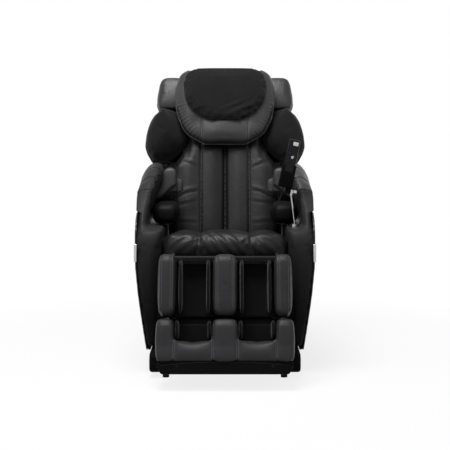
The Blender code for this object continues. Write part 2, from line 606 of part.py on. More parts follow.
def pod_shape(point, place):
    """Fuller low down, drawn in at the top and the bottom, set back beside the pillow, and clear of the
    back pad's shoulder."""
    outward = max(0.0, place.x)
    point.x += 0.5 * (1.0 - place.x) * (PAD_WIDE - PAD_NARROW + 0.001) * (1.0 - narrowing(point.z - 0.020))
    inward = min(1.0, max(0.0, -2.0 * place.x))
    point.y += max(0.0, -place.y) * 0.048 * inward
    point.x -= outward * 0.030 * max(0.0, place.z + 0.3) ** 1.5
    point.x -= outward * 0.025 * max(0.0, -place.z - 0.4)
    return point


for side, sign in SIDES:
    pod = pillow_form((POD_INSIDE, -0.15, 0.392), (0.348, 0.040, 0.636), (6, 6, 7), 4.0, pod_shape)
    part(f"pod_{side}", FABRIC, BACK, [mirrored(pod, sign)], BACK_FRAME, smooth=True)
    part(f"wing_{side}", LEATHER, BACK,
         [mirrored(pillow_form((POD_INSIDE, -0.085, 0.637), (0.302, 0.025, 0.80), (5, 4, 5), 5.0), sign)],
         BACK_FRAME, smooth=True)

part("lead_screw", BRIGHT, BACK, [rod((0, 0.035, 0.0903), (0, 0.035, 0.7647), 0.008, 12)], BACK_FRAME)


# Head pillow and its fabric panel
def pillow_shape(point, place):
    """Narrower towards the lower edge, with a full middle."""
    low = max(0.0, -place.z)
    point.x *= 1.0 - 0.30 * low ** 2.5
    return point


def panel_shape(point, place):
    """A rounded U with a flat top that leans back over the pillow."""
    low = max(0.0, -place.z)
    point.x *= 1.0 - 0.35 * low ** 2
    point.y += 0.012 * max(0.0, place.z) ** 2
    return point


part("pillow", LEATHER, PILLOW,
     [pillow_form((-0.225, -0.165, 0.442), (0.225, -0.1052, 0.780), (10, 3, 9), 4.0, pillow_shape)],
     BACK_FRAME, smooth=True)
part("pillow_cover", FABRIC, PILLOW,
     [pillow_form((-0.183, -0.1908, 0.541), (0.183, -0.1658, 0.803), (8, 2, 7), 5.0, panel_shape)],
     BACK_FRAME, smooth=True)


# Massage carriage, motor, rocking arms and rollers, behind the back pad
def carriage():
    reach = GUIDE_X + 0.02
    body = soft_edges(box((-reach, 0.014, 0.30), (reach, 0.052, 0.40)), 0.004, 1)
    lugs = [mirrored(box((0.03, -0.013, 0.338), (0.045, 0.02, 0.362)), sign) for sign in (-1, 1)]
    bores = [rod((across, 0.035, 0.28), (across, 0.035, 0.42), 0.0088, 12)
             for across in (-GUIDE_X, 0.0, GUIDE_X)]
    bores.append(rod((-0.06, -0.003, 0.35), (0.06, -0.003, 0.35), 0.0066, 12))
    part("massage_carriage", STEEL, CARRIAGE, [body], BACK_FRAME, add=lugs, cut=bores)


carriage()
part("massage_motor", PLASTIC, CARRIAGE,
     [soft_edges(box((0.014, 0.017, 0.225), (0.066, 0.05, 0.30 - FIT)), 0.006)], BACK_FRAME)


def roller_arms():
    shaft = rod((-0.066, -0.003, 0.35), (0.066, -0.003, 0.35), 0.006, 12)
    extras = []
    for sign in (-1, 1):
        arm = [(-0.016, 0.272), (-0.001, 0.270), (0.008, 0.35), (-0.001, 0.430), (-0.016, 0.428),
               (-0.014, 0.35)]
        extras.append(mirrored(prism(arm, 0.058, 0.070, "X"), sign))
    bores = [rod((-0.08, -0.008, height), (0.08, -0.008, height), 0.0047, 12) for height in (0.28, 0.42)]
    part("roller_arms", STEEL, ROCKER, [shaft], BACK_FRAME, add=extras, cut=bores)


roller_arms()
for name, axis, height in (("upper_rollers", UPPER, 0.42), ("lower_rollers", LOWER, 0.28)):
    rollers = []
    for sign in (-1, 1):
        roller = rod((0.071, -0.008, height), (0.111, -0.008, height), ROLLER_RADIUS, 18)
        rollers.append(mirrored(soft_edges(roller, 0.006), sign))
    part(name, RUBBER, axis, [rod((-0.10, -0.008, height), (0.10, -0.008, height), 0.004, 12)], BACK_FRAME,
         add=rollers)


# Leg rest: calf frame with its ears, sleeves and slotted lever
def calf_frame():
    plate = box((-0.256, -0.030, -0.236), (0.256, -0.022, -0.004))
    extras = []
    for sign in (-1, 1):
        ear = [(-0.026, -0.04), (-0.026, 0.0), (-0.012, 0.017), (0.008, 0.017), (0.018, 0.004), (0.016, -0.012),
               (-0.005, -0.04)]
        extras.append(mirrored(prism(ear, BRACKET_X[1] + 2 * FIT, BRACKET_X[1] + 0.0106, "X"), sign))
        extras.append(mirrored(box((0.105, -0.023, -0.225), (0.135, -0.004, -0.10)), sign))
    aim_world = Vector((math.tan(CALF_LEVER_LEAN), -1.0)).normalized()
    aim = Vector((aim_world.x * math.cos(CALF_LEAN) - aim_world.y * math.sin(CALF_LEAN),
                  aim_world.x * math.sin(CALF_LEAN) + aim_world.y * math.cos(CALF_LEAN)))
    extras.append(capsule(aim * 0.05, aim * 0.132, 0.024, LEVER_X[0], LEVER_X[1]))
    gusset = [(-0.025, -0.02), (0.03, -0.02), (0.10, -0.085), (0.085, -0.11), (-0.025, -0.12)]
    extras.append(prism(gusset, LEVER_X[0], LEVER_X[1], "X"))
    reach = CALF_LEVER_DROP / math.cos(CALF_LEVER_LEAN)
    slot = capsule(aim * (CALF_LEVER_DROP - 0.003), aim * (reach + 0.003), 0.0105, 0.06, 0.09)
    bores = []
    for sign in (-1, 1):
        bore = rod((BRACKET_X[0], 0, 0), (BRACKET_X[1] + 0.015, 0, 0), KNEE_PIN_RADIUS + 2 * FIT, 14)
        bores.append(mirrored(bore, sign))
    sleeves = [mirrored(box((0.1095, -0.0185, -0.3), (0.1305, -0.0085, -0.05)), sign) for sign in (-1, 1)]
    part("calf_frame", PLASTIC, CALF, [plate], CALF_FRAME, add=extras, cut=bores + sleeves + [slot])


calf_frame()


def upright_pad(point, place):
    """Two seam lines down the front, a rounded head."""
    front = max(0.0, -place.y)
    point.y += front * 0.010 * max(0.0, place.z - 0.4) ** 2 * 2.5
    return point


CALF_PADS = (("left", -0.257, -0.187), ("centre", -0.044, 0.044), ("right", 0.187, 0.257))
for side, low, high in CALF_PADS:
    part(f"calf_pad_{side}", LEATHER, CALF,
         [pillow_form((low, -0.130, -0.238), (high, -0.0303, 0.004), (5, 4, 6), 7.0, upright_pad)],
         CALF_FRAME, smooth=True)

# Each calf well is lined with a back, a top bar and two flaps
for side, sign in SIDES:
    liner = box((0.0445, -0.040, -0.236), (0.1865, -0.0303, -0.012))
    extras = [box((0.0445, -0.078, -0.032), (0.1865, -0.039, -0.014))]
    for across in (0.056, 0.160):
        extras.append(pillow_form((across, -0.118, -0.232), (across + 0.014, -0.036, -0.020), (2, 3, 5), 4.0))
    part(f"calf_liner_{side}", FABRIC, CALF, [mirrored(liner, sign)], CALF_FRAME,
         add=[mirrored(extra, sign) for extra in extras])


# Foot section: tray with bottom cover and slide bars, pads, flaps and cover screws
def foot_tray():
    cover = [(-0.245, -0.4035), (-0.252, -0.425), (-0.235, -0.452), (0.235, -0.452), (0.252, -0.425),
             (0.245, -0.4035)]
    bottom = prism(cover, -0.128, 0.0, "Y")
    extras = [box((-0.254, -0.030, -0.41), (0.254, -0.020, -0.238))]
    for sign in (-1, 1):
        extras.append(mirrored(box((0.11, -0.018, -0.414), (0.13, -0.009, -0.07)), sign))
    extras.append(box((-0.14, -0.024, -0.418), (0.14, -0.006, -0.30)))
    part("foot_tray", PLASTIC, FOOT, [bottom], CALF_FRAME, add=extras)


foot_tray()
FOOT_PADS = ((-0.262, -0.189), (-0.049, 0.049), (0.189, 0.262))
foot_pads = []
for low, high in FOOT_PADS:
    foot_pads.append(pillow_form((low, -0.134, -0.403), (high, -0.0303, -0.250), (4, 4, 5), 8.0, upright_pad))


def toe_shape(point, place):
    """The upper edge sags between the pads."""
    high = max(0.0, place.z)
    point.z -= high * 0.016 * (1.0 - place.x ** 2)
    return point


for sign in (-1, 1):
    toe_bar = pillow_form((0.038, -0.132, -0.4027), (0.200, -0.0603, -0.325), (6, 3, 3), 8.0, toe_shape)
    foot_pads.append(mirrored(toe_bar, sign))
part("foot_pads", LEATHER, FOOT, foot_pads[:1], CALF_FRAME, add=foot_pads[1:], smooth=True)

# Each foot well is lined with a sole, a back and two flaps
for side, sign in SIDES:
    liner = box((0.051, -0.0425, -0.4032), (0.187, -0.0303, -0.26))
    extras = [box((0.051, -0.060, -0.4032), (0.187, -0.040, -0.352))]
    for across in (0.0515, 0.172):
        extras.append(pillow_form((across, -0.112, -0.3245), (across + 0.014, -0.036, -0.252), (2, 3, 4), 4.0))
    part(f"foot_liner_{side}", FABRIC, FOOT, [mirrored(liner, sign)], CALF_FRAME,
         add=[mirrored(extra, sign) for extra in extras])

# Handset stalk, holder, knob, handset, button and cord
STALK_FOOT = Vector((ARM_INSIDE + 0.0345, REMOTE_PIVOT.y, ARM_FLOOR + FIT))
NECK = REMOTE_FRAME @ Vector((0.030, 0.0, -0.012))
head = [box((0.0265, -0.006, -0.014), (0.0345, 0.006, 0.008))]
head[0].transform(REMOTE_FRAME)
stalk = rod(STALK_FOOT, STALK_FOOT + Vector((0, 0, 0.012)), 0.018, 18)
bore = rod((0.01, 0, 0), (0.06, 0, 0), 0.0037, 12)
bore.transform(REMOTE_FRAME)
part("remote_stalk", BRIGHT, BASE, [stalk],
     add=[bent_tube([STALK_FOOT + Vector((0, 0, 0.006)), NECK], 0.0035)] + head, cut=[bore])

holder = soft_edges(box((-0.028, -0.016, 0.012), (0.028, 0.010, 0.105)), 0.004)
tongue = [box((0.004, -0.006, -0.010), (0.0262, 0.006, 0.02))]
tongue.append(rod((0.004, 0, 0), (0.0395, 0, 0), 0.0033, 12))
slot = box((-0.0235, -0.0112, 0.02), (0.0235, 0.0052, 0.2))
window = box((-0.018, -0.03, 0.075), (0.018, -0.0105, 0.2))
part("remote_holder", PLASTIC, HOLDER, [holder], REMOTE_FRAME, add=tongue, cut=[slot, window])
part("holder_knob", BRIGHT, KNOB, [soft_edges(rod((0.0349, 0, 0), (0.050, 0, 0), 0.009, 14), 0.002, 1)],
     REMOTE_FRAME, cut=[rod((0.03, 0, 0), (0.0425, 0, 0), 0.0037, 12)])
handset = soft_edges(box((-0.023, -0.0108, 0.0205), (0.023, 0.0048, 0.205)), 0.004)
part("handset", PLASTIC, HANDSET, [handset], REMOTE_FRAME,
     cut=[rod((0.004, -0.02, 0.135), (0.004, -0.0075, 0.135), 0.0062, 14)])
part("handset_button", BRIGHT, BUTTON, [rod((0.004, -0.0125, 0.135), (0.004, -0.0098, 0.135), 0.0058, 14)],
     REMOTE_FRAME)
cord_line = [REMOTE_FRAME @ Vector(place) for place in ((-0.006, -0.002, 0.0112), (-0.007, -0.002, -0.01))]
cord_line += [REMOTE_PIVOT + Vector((-0.020, 0.0, -0.042)), REMOTE_PIVOT + Vector((-0.036, 0.008, -0.076))]
cord_line.append(Vector((ARM_INSIDE - 0.0495, -0.116, ARM_FLOOR + 0.045)))
cord_line.append(Vector((ARM_INSIDE - 0.0495, -0.0885, ARM_FLOOR + 0.035)))
part("remote_cord", RUBBER, BASE, [bent_tube(cord_line, 0.0025, 1)], smooth=True)
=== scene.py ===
# %% [markdown]
# # A massage chair, dressed
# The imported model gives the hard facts: where every piece is and what it moves with. This lesson puts
# leather, cloth and moulded plastic on it. Everything is in metres, the front faces -Y, and left and right
# are as seen from the front. The back, the leg rest and the handset lean, so each has a frame of its own that
# leans with it, and shapes on them are written in that frame.

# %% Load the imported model
import json
import math

import bmesh
import bpy
from mathutils import Matrix, Vector, noise
from mathutils.bvhtree import BVHTree

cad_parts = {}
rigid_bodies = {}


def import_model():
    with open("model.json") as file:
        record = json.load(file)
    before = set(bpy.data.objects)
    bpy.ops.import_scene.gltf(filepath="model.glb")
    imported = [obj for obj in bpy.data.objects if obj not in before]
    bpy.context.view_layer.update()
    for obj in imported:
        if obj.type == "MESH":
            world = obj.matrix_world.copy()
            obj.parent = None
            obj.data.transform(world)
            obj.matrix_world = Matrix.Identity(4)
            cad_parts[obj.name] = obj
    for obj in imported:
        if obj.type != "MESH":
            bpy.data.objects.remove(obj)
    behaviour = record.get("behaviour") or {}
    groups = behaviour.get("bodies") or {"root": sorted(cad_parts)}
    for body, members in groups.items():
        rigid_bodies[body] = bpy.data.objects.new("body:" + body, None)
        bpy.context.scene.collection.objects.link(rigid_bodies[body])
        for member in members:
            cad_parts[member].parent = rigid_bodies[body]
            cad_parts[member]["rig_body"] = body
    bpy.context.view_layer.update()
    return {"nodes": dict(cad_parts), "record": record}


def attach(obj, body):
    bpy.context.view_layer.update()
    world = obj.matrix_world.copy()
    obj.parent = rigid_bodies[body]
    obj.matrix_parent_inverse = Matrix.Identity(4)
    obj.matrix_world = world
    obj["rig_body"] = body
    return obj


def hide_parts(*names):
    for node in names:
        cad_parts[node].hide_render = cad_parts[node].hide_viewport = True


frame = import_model()
NODES = frame["nodes"]
BACK_HINGE = (0.0, 0.193, 0.42)
BACK_LEAN = math.radians(-22.0)
KNEE = (0.0, -0.347, 0.46)
CALF_LEAN = math.radians(-18.0)
HANDSET_FOOT = (0.236, -0.177, 0.712)
HANDSET_LEAN = math.radians(12.0)
BACK = Matrix.Translation(BACK_HINGE) @ Matrix.Rotation(BACK_LEAN, 4, "X")
CALF = Matrix.Translation(KNEE) @ Matrix.Rotation(CALF_LEAN, 4, "X")
REMOTE = Matrix.Translation(HANDSET_FOOT) @ Matrix.Rotation(HANDSET_LEAN, 4, "Y")
WORLD = Matrix.Identity(4)
print("nodes loaded:", len(NODES))

# %% [markdown]
# The photograph is taken from straight in front. Its camera is taken to be a little over four and a half
# metres from the middle of the chair and nearly a metre up, with a long lens that looks slightly down.

# %% Camera
CAMERA_PLACE = Vector((0.0, -4.637, 0.966))
CAMERA_TIP = math.radians(5.038)
SENSOR_WIDTH = 36.0
LENS_LENGTH = 89.56
lens = bpy.data.cameras.new("camera")
lens.sensor_width = SENSOR_WIDTH
lens.lens = LENS_LENGTH
camera = bpy.data.objects.new("camera", lens)
camera.location = CAMERA_PLACE
camera.rotation_euler = (math.radians(90.0) - CAMERA_TIP, 0.0, 0.0)
bpy.context.scene.collection.objects.link(camera)
bpy.context.scene.camera = camera
print("camera at", tuple(CAMERA_PLACE))

# %% [markdown]
# A node material is easier to read as sums than as a web of links. One small class stands for a node's output
# and turns + - * into Math nodes.

# %% Writing materials as sums


def feed(tree, socket, value):
    """A link where the value is a node output, a plain setting otherwise."""
    if isinstance(value, Wire):
        tree.links.new(value.socket, socket)
    else:
        socket.default_value = value


class Wire:
    """A node output that can be used in a sum like a number."""

    def __init__(self, tree, socket):
        self.tree = tree
        self.socket = socket

    def math(self, operation, first, second):
        node = self.tree.nodes.new("ShaderNodeMath")
        node.operation = operation
        feed(self.tree, node.inputs[0], first)
        feed(self.tree, node.inputs[1], second)
        return Wire(self.tree, node.outputs[0])

    def __add__(self, other):
        return self.math("ADD", self, other)

    def __radd__(self, other):
        return self.math("ADD", other, self)

    def __sub__(self, other):
        return self.math("SUBTRACT", self, other)

    def __rsub__(self, other):
        return self.math("SUBTRACT", other, self)

    def __mul__(self, other):
        return self.math("MULTIPLY", self, other)

    def __rmul__(self, other):
        return self.math("MULTIPLY", other, self)


print("sums of node outputs ready")

# %% [markdown]
# A finish is a material while it is being made. Its methods add what the chair's finishes have in common: the
# piece's own coordinates, soft patches, a mix of two colours and a bump.

# %% Finishes


class Finish:
    """A material while it is being made."""

    def __init__(self, name):
        self.material = bpy.data.materials.new(name)
        self.material.use_nodes = True
        self.tree = self.material.node_tree
        self.shader = self.tree.nodes["Principled BSDF"]

    def node(self, kind, settings=None, sockets=None, output=0):
        """Adds a node: its settings first, then the values or links of its sockets."""
        made = self.tree.nodes.new("ShaderNode" + kind)
        for name, value in (settings or {}).items():
            setattr(made, name, value)
        for name, value in (sockets or {}).items():
            feed(self.tree, made.inputs[name], value)
        return Wire(self.tree, made.outputs[output])

    def place(self, stretch=(1.0, 1.0, 1.0)):
        """The piece's own coordinates, stretched."""
        spot = self.node("TexCoord", output=3)
        return self.node("Mapping", {"vector_type": "POINT"}, {"Vector": spot, "Scale": stretch})

    def cloud(self, scale, detail=3.0, stretch=(1.0, 1.0, 1.0)):
        """Soft random patches between 0 and 1."""
        return self.node("TexNoise", None, {"Vector": self.place(stretch), "Scale": scale, "Detail": detail})

    def shades(self, share, dark, light):
        """A colour between two, by a share from 0 to 1. The first may come from a node."""
        dark = dark if isinstance(dark, Wire) else (*dark, 1.0)
        return self.node("Mix", {"data_type": "RGBA"}, {0: share, 6: dark, 7: (*light, 1.0)}, 2)

    def relief(self, height, depth, strength=1.0):
        """A bump of that depth in metres, on the shader's normal."""
        bump = self.node("Bump", None, {"Height": height, "Distance": depth, "Strength": strength})
        self.set({"Normal": bump})

    def set(self, sockets):
        for name, value in sockets.items():
            feed(self.tree, self.shader.inputs[name], value)


print("material kit ready")

# %% [markdown]
# The leather is a soft coated hide: fine round grain about one and a half millimetres wide, shallow creases,
# and a satin gloss that varies a little. Grain comes from rounded cells, creases from stretched noise. The
# real chair most likely has one black leather. Here its cushions get several dark greys, set against the
# photo, and the arms get paler with height, so part of the photo's light and shade is in these colours.

# %% Leather
HIDE_PATCHES = 11.0
HIDE_GRAIN = 620.0
HIDE_CREASES = 46.0
HIDE_RELIEF = 0.0022
# Painted light and shade on the arms: near black below, going over to a paler grey between these heights.
ARM_PAINTED_SHADING = (0.22, 0.58, (0.024, 0.024, 0.025))


def leather(name, dark, light, gloss, crease=0.5, shine=0.25, painted_shading=None):
    """Leather of a colour between two. Painted shading takes that over to a third one between two heights."""
    made = Finish(name)
    patches = made.cloud(HIDE_PATCHES, 4.0)
    grain = made.node("TexVoronoi", {"feature": "SMOOTH_F1"}, {"Vector": made.place(), "Scale": HIDE_GRAIN})
    lines = made.cloud(HIDE_CREASES, 5.0, (1.0, 1.0, 1.7))
    colour = made.shades(patches, dark, light)
    # Painted shading: between two heights the colour goes over to a paler one.
    if painted_shading:
        low, high, paler = painted_shading
        height = made.node("SeparateXYZ", None, {"Vector": made.place()}, 2)
        share = made.node("MapRange", None, {"Value": height, "From Min": low, "From Max": high})
        colour = made.shades(share, colour, paler)
    made.set({"Base Color": colour, "Specular IOR Level": shine})
    made.set({"Roughness": gloss + 0.14 * patches + 0.08 * grain - 0.10})
    made.relief(0.35 * grain + crease * lines, HIDE_RELIEF, 0.45)
    return made.material


# The copies below are the cushions' leather made paler or darker: painted light and shade.
LEATHER = leather("leather", (0.005, 0.005, 0.0055), (0.010, 0.010, 0.011), 0.36, shine=0.14)
# Wings: paler, painted light on their lit tops.
LEATHER_PALE = leather("leather_wings", (0.014, 0.014, 0.015), (0.024, 0.024, 0.026), 0.36, 0.7)
# Darker: painted shade on the forearm pads and elbow fillers in the arms' pockets; dark piping and hood seams
# use it too.
LEATHER_DARK = leather("leather_inner", (0.003, 0.003, 0.0035), (0.006, 0.006, 0.0065), 0.48, shine=0.06)
# The arms' leather: near black, with painted shading that makes it paler towards the top.
LEATHER_SIDE = leather("leather_arms", (0.0015, 0.0015, 0.002), (0.003, 0.003, 0.0035), 0.38, shine=0.05,
                       painted_shading=ARM_PAINTED_SHADING)
# Elbow flaps: much paler, painted light that makes up for the hood's shadow on them.
LEATHER_FLAP = leather("leather_flaps", (0.030, 0.030, 0.032), (0.046, 0.046, 0.048), 0.34)
# Hoods and pillow: paler, painted light on their lit tops.
LEATHER_HOOD = leather("leather_hoods", (0.020, 0.020, 0.021), (0.034, 0.034, 0.036), 0.36)
# Leg rest: paler, painted light on the pads' lit fronts.
LEATHER_LEG = leather("leather_legs", (0.018, 0.018, 0.019), (0.028, 0.028, 0.030), 0.40, shine=0.11)
# Threads: paler than the leather, partly the stitching's own grey, partly a painted highlight along the
# seams.
THREAD = leather("thread", (0.08, 0.08, 0.08), (0.12, 0.12, 0.12), 0.6, shine=0.1)
print("leather made")

# %% [markdown]
# The pods, the head panel and the wells are a black woven cloth. Two crossed waves make the weave, three
# millimetres from thread to thread, and a little sheen gives the pale edge that cloth shows.

# %% Cloth
WEAVE = 105.0


def cloth(name, dark, light):
    made = Finish(name)
    warp = made.node("TexWave", {"bands_direction": "X"}, {"Vector": made.place(), "Scale": WEAVE})
    weft = made.node("TexWave", {"bands_direction": "Z"}, {"Vector": made.place(), "Scale": WEAVE})
    weave = warp * weft
    made.set({"Base Color": made.shades(0.5 * weave + 0.5 * made.cloud(14.0), dark, light)})
    made.set({"Roughness": 0.95 - 0.12 * weave, "Specular IOR Level": 0.1})
    made.set({"Sheen Weight": 0.12, "Sheen Roughness": 0.4})
    made.relief(weave + 0.5 * made.cloud(90.0), 0.0012, 0.5)
    return made.material


CLOTH = cloth("woven_cloth", (0.005, 0.005, 0.0055), (0.014, 0.014, 0.015))
# A darker copy of the cloth: painted shade for the deep wells of the leg rest and the slits that the linings
# close.
WELL_CLOTH = cloth("well_cloth", (0.002, 0.002, 0.0025), (0.005, 0.005, 0.006))
print("cloth made")

# %% [markdown]
# Hard finishes: gloss mouldings for the side shells, a fine matt texture for covers, painted steel, rubber,
# polished metal and the silver of the side trims. Each gets a little unevenness, as a real moulding has.

# %% Plastic, metal and rubber


def hard(name, dark, light, gloss, metal=0.0, coat=0.0, grain=0.0, shine=0.5, stretch=(1.0, 1.0, 1.0)):
    made = Finish(name)
    patches = made.cloud(24.0, 4.0, stretch)
    made.set({"Base Color": made.shades(patches, dark, light), "Metallic": metal, "Coat Weight": coat})
    made.set({"Roughness": gloss + 0.10 * patches - 0.05, "Specular IOR Level": shine})
    if grain:
        made.relief(made.cloud(900.0, 2.0, stretch), grain, 0.5)
    return made.material


GLOSS = hard("gloss_moulding", (0.004, 0.004, 0.0045), (0.007, 0.007, 0.0075), 0.14, coat=0.15, shine=0.3)
PLASTIC = hard("matt_moulding", (0.002, 0.002, 0.0025), (0.004, 0.004, 0.0045), 0.60,
               grain=0.0004, shine=0.03)
STEEL = hard("painted_bar", (0.004, 0.004, 0.0045), (0.008, 0.008, 0.0085), 0.45,
             grain=0.0003, shine=0.10)
CHROME = hard("polished_metal", (0.34, 0.34, 0.35), (0.46, 0.46, 0.47), 0.18, metal=1.0)
SILVER = hard("silver_trim", (0.42, 0.42, 0.44), (0.56, 0.56, 0.58), 0.30,
              metal=0.85, stretch=(1.0, 1.0, 12.0))
RUBBER = hard("black_rubber", (0.008, 0.008, 0.008), (0.014, 0.014, 0.014), 0.80,
              grain=0.0006, shine=0.15)
GLASS = hard("dark_window", (0.002, 0.002, 0.003), (0.005, 0.005, 0.007), 0.16, shine=0.15)
FINISH_OF_SLOT = {"leather": LEATHER, "fabric": CLOTH, "gloss_plastic": GLOSS, "matt_plastic": PLASTIC,
                  "painted_steel": STEEL, "bright_metal": CHROME, "rubber": RUBBER}
for subpart in frame["record"]["subparts"]:
    dressed = NODES[subpart["node"]].data.materials
    dressed.clear()
    dressed.append(FINISH_OF_SLOT[subpart["material_slot"]])
print("hard finishes made")

# %% [markdown]
# A white surround, as in a catalogue picture. The camera and mirror-like surfaces see white, while the light
# that it throws on the chair is weaker.

# %% Surround
WORLD_LIGHT = 0.22


def seen_straight(tree):
    """1 for rays from the camera, a mirror or glass, 0 for light on the object."""
    path = tree.nodes.new("ShaderNodeLightPath")
    from_camera = Wire(tree, path.outputs["Is Camera Ray"])
    from_mirror = Wire(tree, path.outputs["Is Glossy Ray"])
    return from_camera + from_mirror + Wire(tree, path.outputs["Is Transmission Ray"])


surround = bpy.data.worlds.new("surround")
surround.use_nodes = True
sky = surround.node_tree.nodes["Background"]
sky.inputs["Color"].default_value = (1.0, 1.0, 1.0, 1.0)
strength = WORLD_LIGHT + (1.0 - WORLD_LIGHT) * seen_straight(surround.node_tree)
feed(surround.node_tree, sky.inputs["Strength"], strength)
bpy.context.scene.world = surround
print("white surround, light", WORLD_LIGHT)

# %% [markdown]
# A pale floor that keeps the chair's shadow. It glows more and more white away from the chair, as the camera
# sees it, so it fades into the surround and there is no horizon.

# %% Floor
FLOOR_REACH = 40.0
FLOOR_SHADE = 0.24
floor_shape = bmesh.new()
bmesh.ops.create_grid(floor_shape, x_segments=1, y_segments=1, size=FLOOR_REACH)
floor_mesh = bpy.data.meshes.new("floor")
floor_shape.to_mesh(floor_mesh)
floor_shape.free()
floor = bpy.data.objects.new("floor", floor_mesh)
bpy.context.scene.collection.objects.link(floor)
pale = Finish("pale_floor")
pale.set({"Base Color": (0.80, 0.80, 0.80, 1.0), "Roughness": 0.9})
nearby = pale.node("TexGradient", {"gradient_type": "SPHERICAL"}, {"Vector": pale.place((0.55, 0.55, 1.0))})
glow = pale.tree.nodes.new("ShaderNodeEmission")
blend = pale.tree.nodes.new("ShaderNodeMixShader")
feed(pale.tree, blend.inputs[0], (1.0 - FLOOR_SHADE * nearby) * seen_straight(pale.tree))
pale.tree.links.new(pale.shader.outputs[0], blend.inputs[1])
pale.tree.links.new(glow.outputs[0], blend.inputs[2])
pale.tree.links.new(blend.outputs[0], pale.tree.nodes["Material Output"].inputs[0])
floor_mesh.materials.append(pale.material)
print("pale floor laid")

# %% [markdown]
# Three soft round lamps: a large one overhead, and two in front, of which the left one is the brighter.

# %% Lamps


def lamp(name, place, target, size, power):
    light = bpy.data.lights.new(name, "AREA")
    light.shape = "DISK"
    light.size = size
    light.energy = power
    made = bpy.data.objects.new(name, light)
    made.location = place
    made.rotation_euler = (Vector(target) - Vector(place)).to_track_quat("-Z", "Y").to_euler()
    bpy.context.scene.collection.objects.link(made)


lamp("overhead", (-0.4, -0.8, 3.2), (0.0, 0.1, 0.6), 1.5, 105.0)
lamp("front_left", (-2.6, -3.0, 2.8), (0.0, 0.0, 0.7), 1.2, 20.0)
lamp("front_right", (2.6, -3.0, 2.8), (0.0, 0.0, 0.7), 1.2, 12.0)
bpy.context.scene.view_settings.view_transform = "Standard"
print("three lamps hung")

# %% [markdown]
# The handset's cord is a fixed length of thin, limp cable. It leaves the foot of the holder, drops in one
# loose bow and goes into the front of the arm pad. A curve through the CAD route's points gives it.

# %% Cord
CORD_ROUTE = [(0.2325, -0.179, 0.7242), (0.2271, -0.179, 0.7037), (0.216, -0.177, 0.670),
              (0.200, -0.169, 0.636), (0.196, -0.143, 0.610), (0.196, -0.1155, 0.600)]
CORD_DIAMETER = 0.005


def bowed(points, steps=5):
    """A smooth line through the points, with that many steps from each to the next."""
    ends = [Vector(point) for point in points]
    ends = [2 * ends[0] - ends[1]] + ends + [2 * ends[-1] - ends[-2]]
    line = []
    for before, here, after, beyond in zip(ends, ends[1:], ends[2:], ends[3:]):
        for step in range(steps):
            t = step / steps
            square = 2 * before - 5 * here + 4 * after - beyond
            cube = 3 * here - before - 3 * after + beyond
            line.append(here + 0.5 * ((after - before) * t + square * t * t + cube * t ** 3))
    line.append(ends[-2])
    return line


def tube_curve(name, points, radius):
    """A round cable along a line of points."""
    curve = bpy.data.curves.new(name, "CURVE")
    curve.dimensions = "3D"
    curve.bevel_depth = radius
    curve.bevel_resolution = 3
    curve.use_fill_caps = True
    line = curve.splines.new("POLY")
    line.points.add(len(points) - 1)
    for spot, point in zip(line.points, points):
        spot.co = (*point, 1.0)
    made = bpy.data.objects.new(name, curve)
    bpy.context.scene.collection.objects.link(made)
    return made


def length_of(points):
    return sum((two - one).length for one, two in zip(points, points[1:]))


cord_line = bowed(CORD_ROUTE)
cord = tube_curve("handset_cord", cord_line, CORD_DIAMETER / 2)
cord.data.materials.append(RUBBER)
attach(cord, "base")
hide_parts("remote_cord")
length_of(cord_line)
print("cord of", round(length_of(cord_line), 3), "m")

# %% [markdown]
# Upholstery starts from the solid it stands for, so that it sits where the solid sits. The copy is merged,
# remeshed into an even skin, rounded and then stuffed: Blender's cloth blows it up a little while its sewn
# lines are held fast, which is how a cushion gets its crown and the puckers beside a seam.

# %% Stuffing kit
PADS = []
SIMULATED_FRAMES = 18
MERGE_DISTANCE = 0.00005
UNDERSIDE = 0.002
LET_IN = 0.01


def merged_copy(*nodes):
    """One mesh of a few CAD solids. The underside of each after the first is let into the one below it."""
    shape = bmesh.new()
    for node in nodes:
        first = len(shape.verts)
        shape.from_mesh(NODES[node].data)
        shape.verts.ensure_lookup_table()
        added = shape.verts[first:]
        lowest = min(vert.co.z for vert in added)
        for vert in added:
            if first and vert.co.z < lowest + UNDERSIDE:
                vert.co.z -= LET_IN
    bmesh.ops.remove_doubles(shape, verts=shape.verts, dist=MERGE_DISTANCE)
    bmesh.ops.join_triangles(shape, faces=shape.faces, angle_face_threshold=0.6, angle_shape_threshold=1.2)
    return shape


def new_object(name, shape):
    mesh = bpy.data.meshes.new(name)
    shape.to_mesh(mesh)
    shape.free()
    made = bpy.data.objects.new(name, mesh)
    bpy.context.scene.collection.objects.link(made)
    return made


def bake(piece):
    """Makes the piece's modifiers part of its mesh."""
    depsgraph = bpy.context.evaluated_depsgraph_get()
    mesh = bpy.data.meshes.new_from_object(piece.evaluated_get(depsgraph))
    piece.modifiers.clear()
    piece.data = mesh
    return piece


def skin(name, nodes, voxel, easing):
    """An even, rounded copy of one CAD solid, or of a few that touch."""
    made = new_object(name, merged_copy(*nodes))
    even = made.modifiers.new("even", "REMESH")
    even.mode = "VOXEL"
    even.voxel_size = voxel
    ease = made.modifiers.new("ease", "SMOOTH")
    ease.factor = 0.5
    ease.iterations = easing
    return bake(made)


def dress(piece, finish, body, slot, *nodes):
    """Finish and body of a piece, and the CAD nodes that it stands for. The record slot is not used."""
    piece.data.materials.clear()
    piece.data.materials.append(finish)
    piece.data.shade_smooth()
    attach(piece, body)
    if nodes:
        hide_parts(*nodes)
    return piece


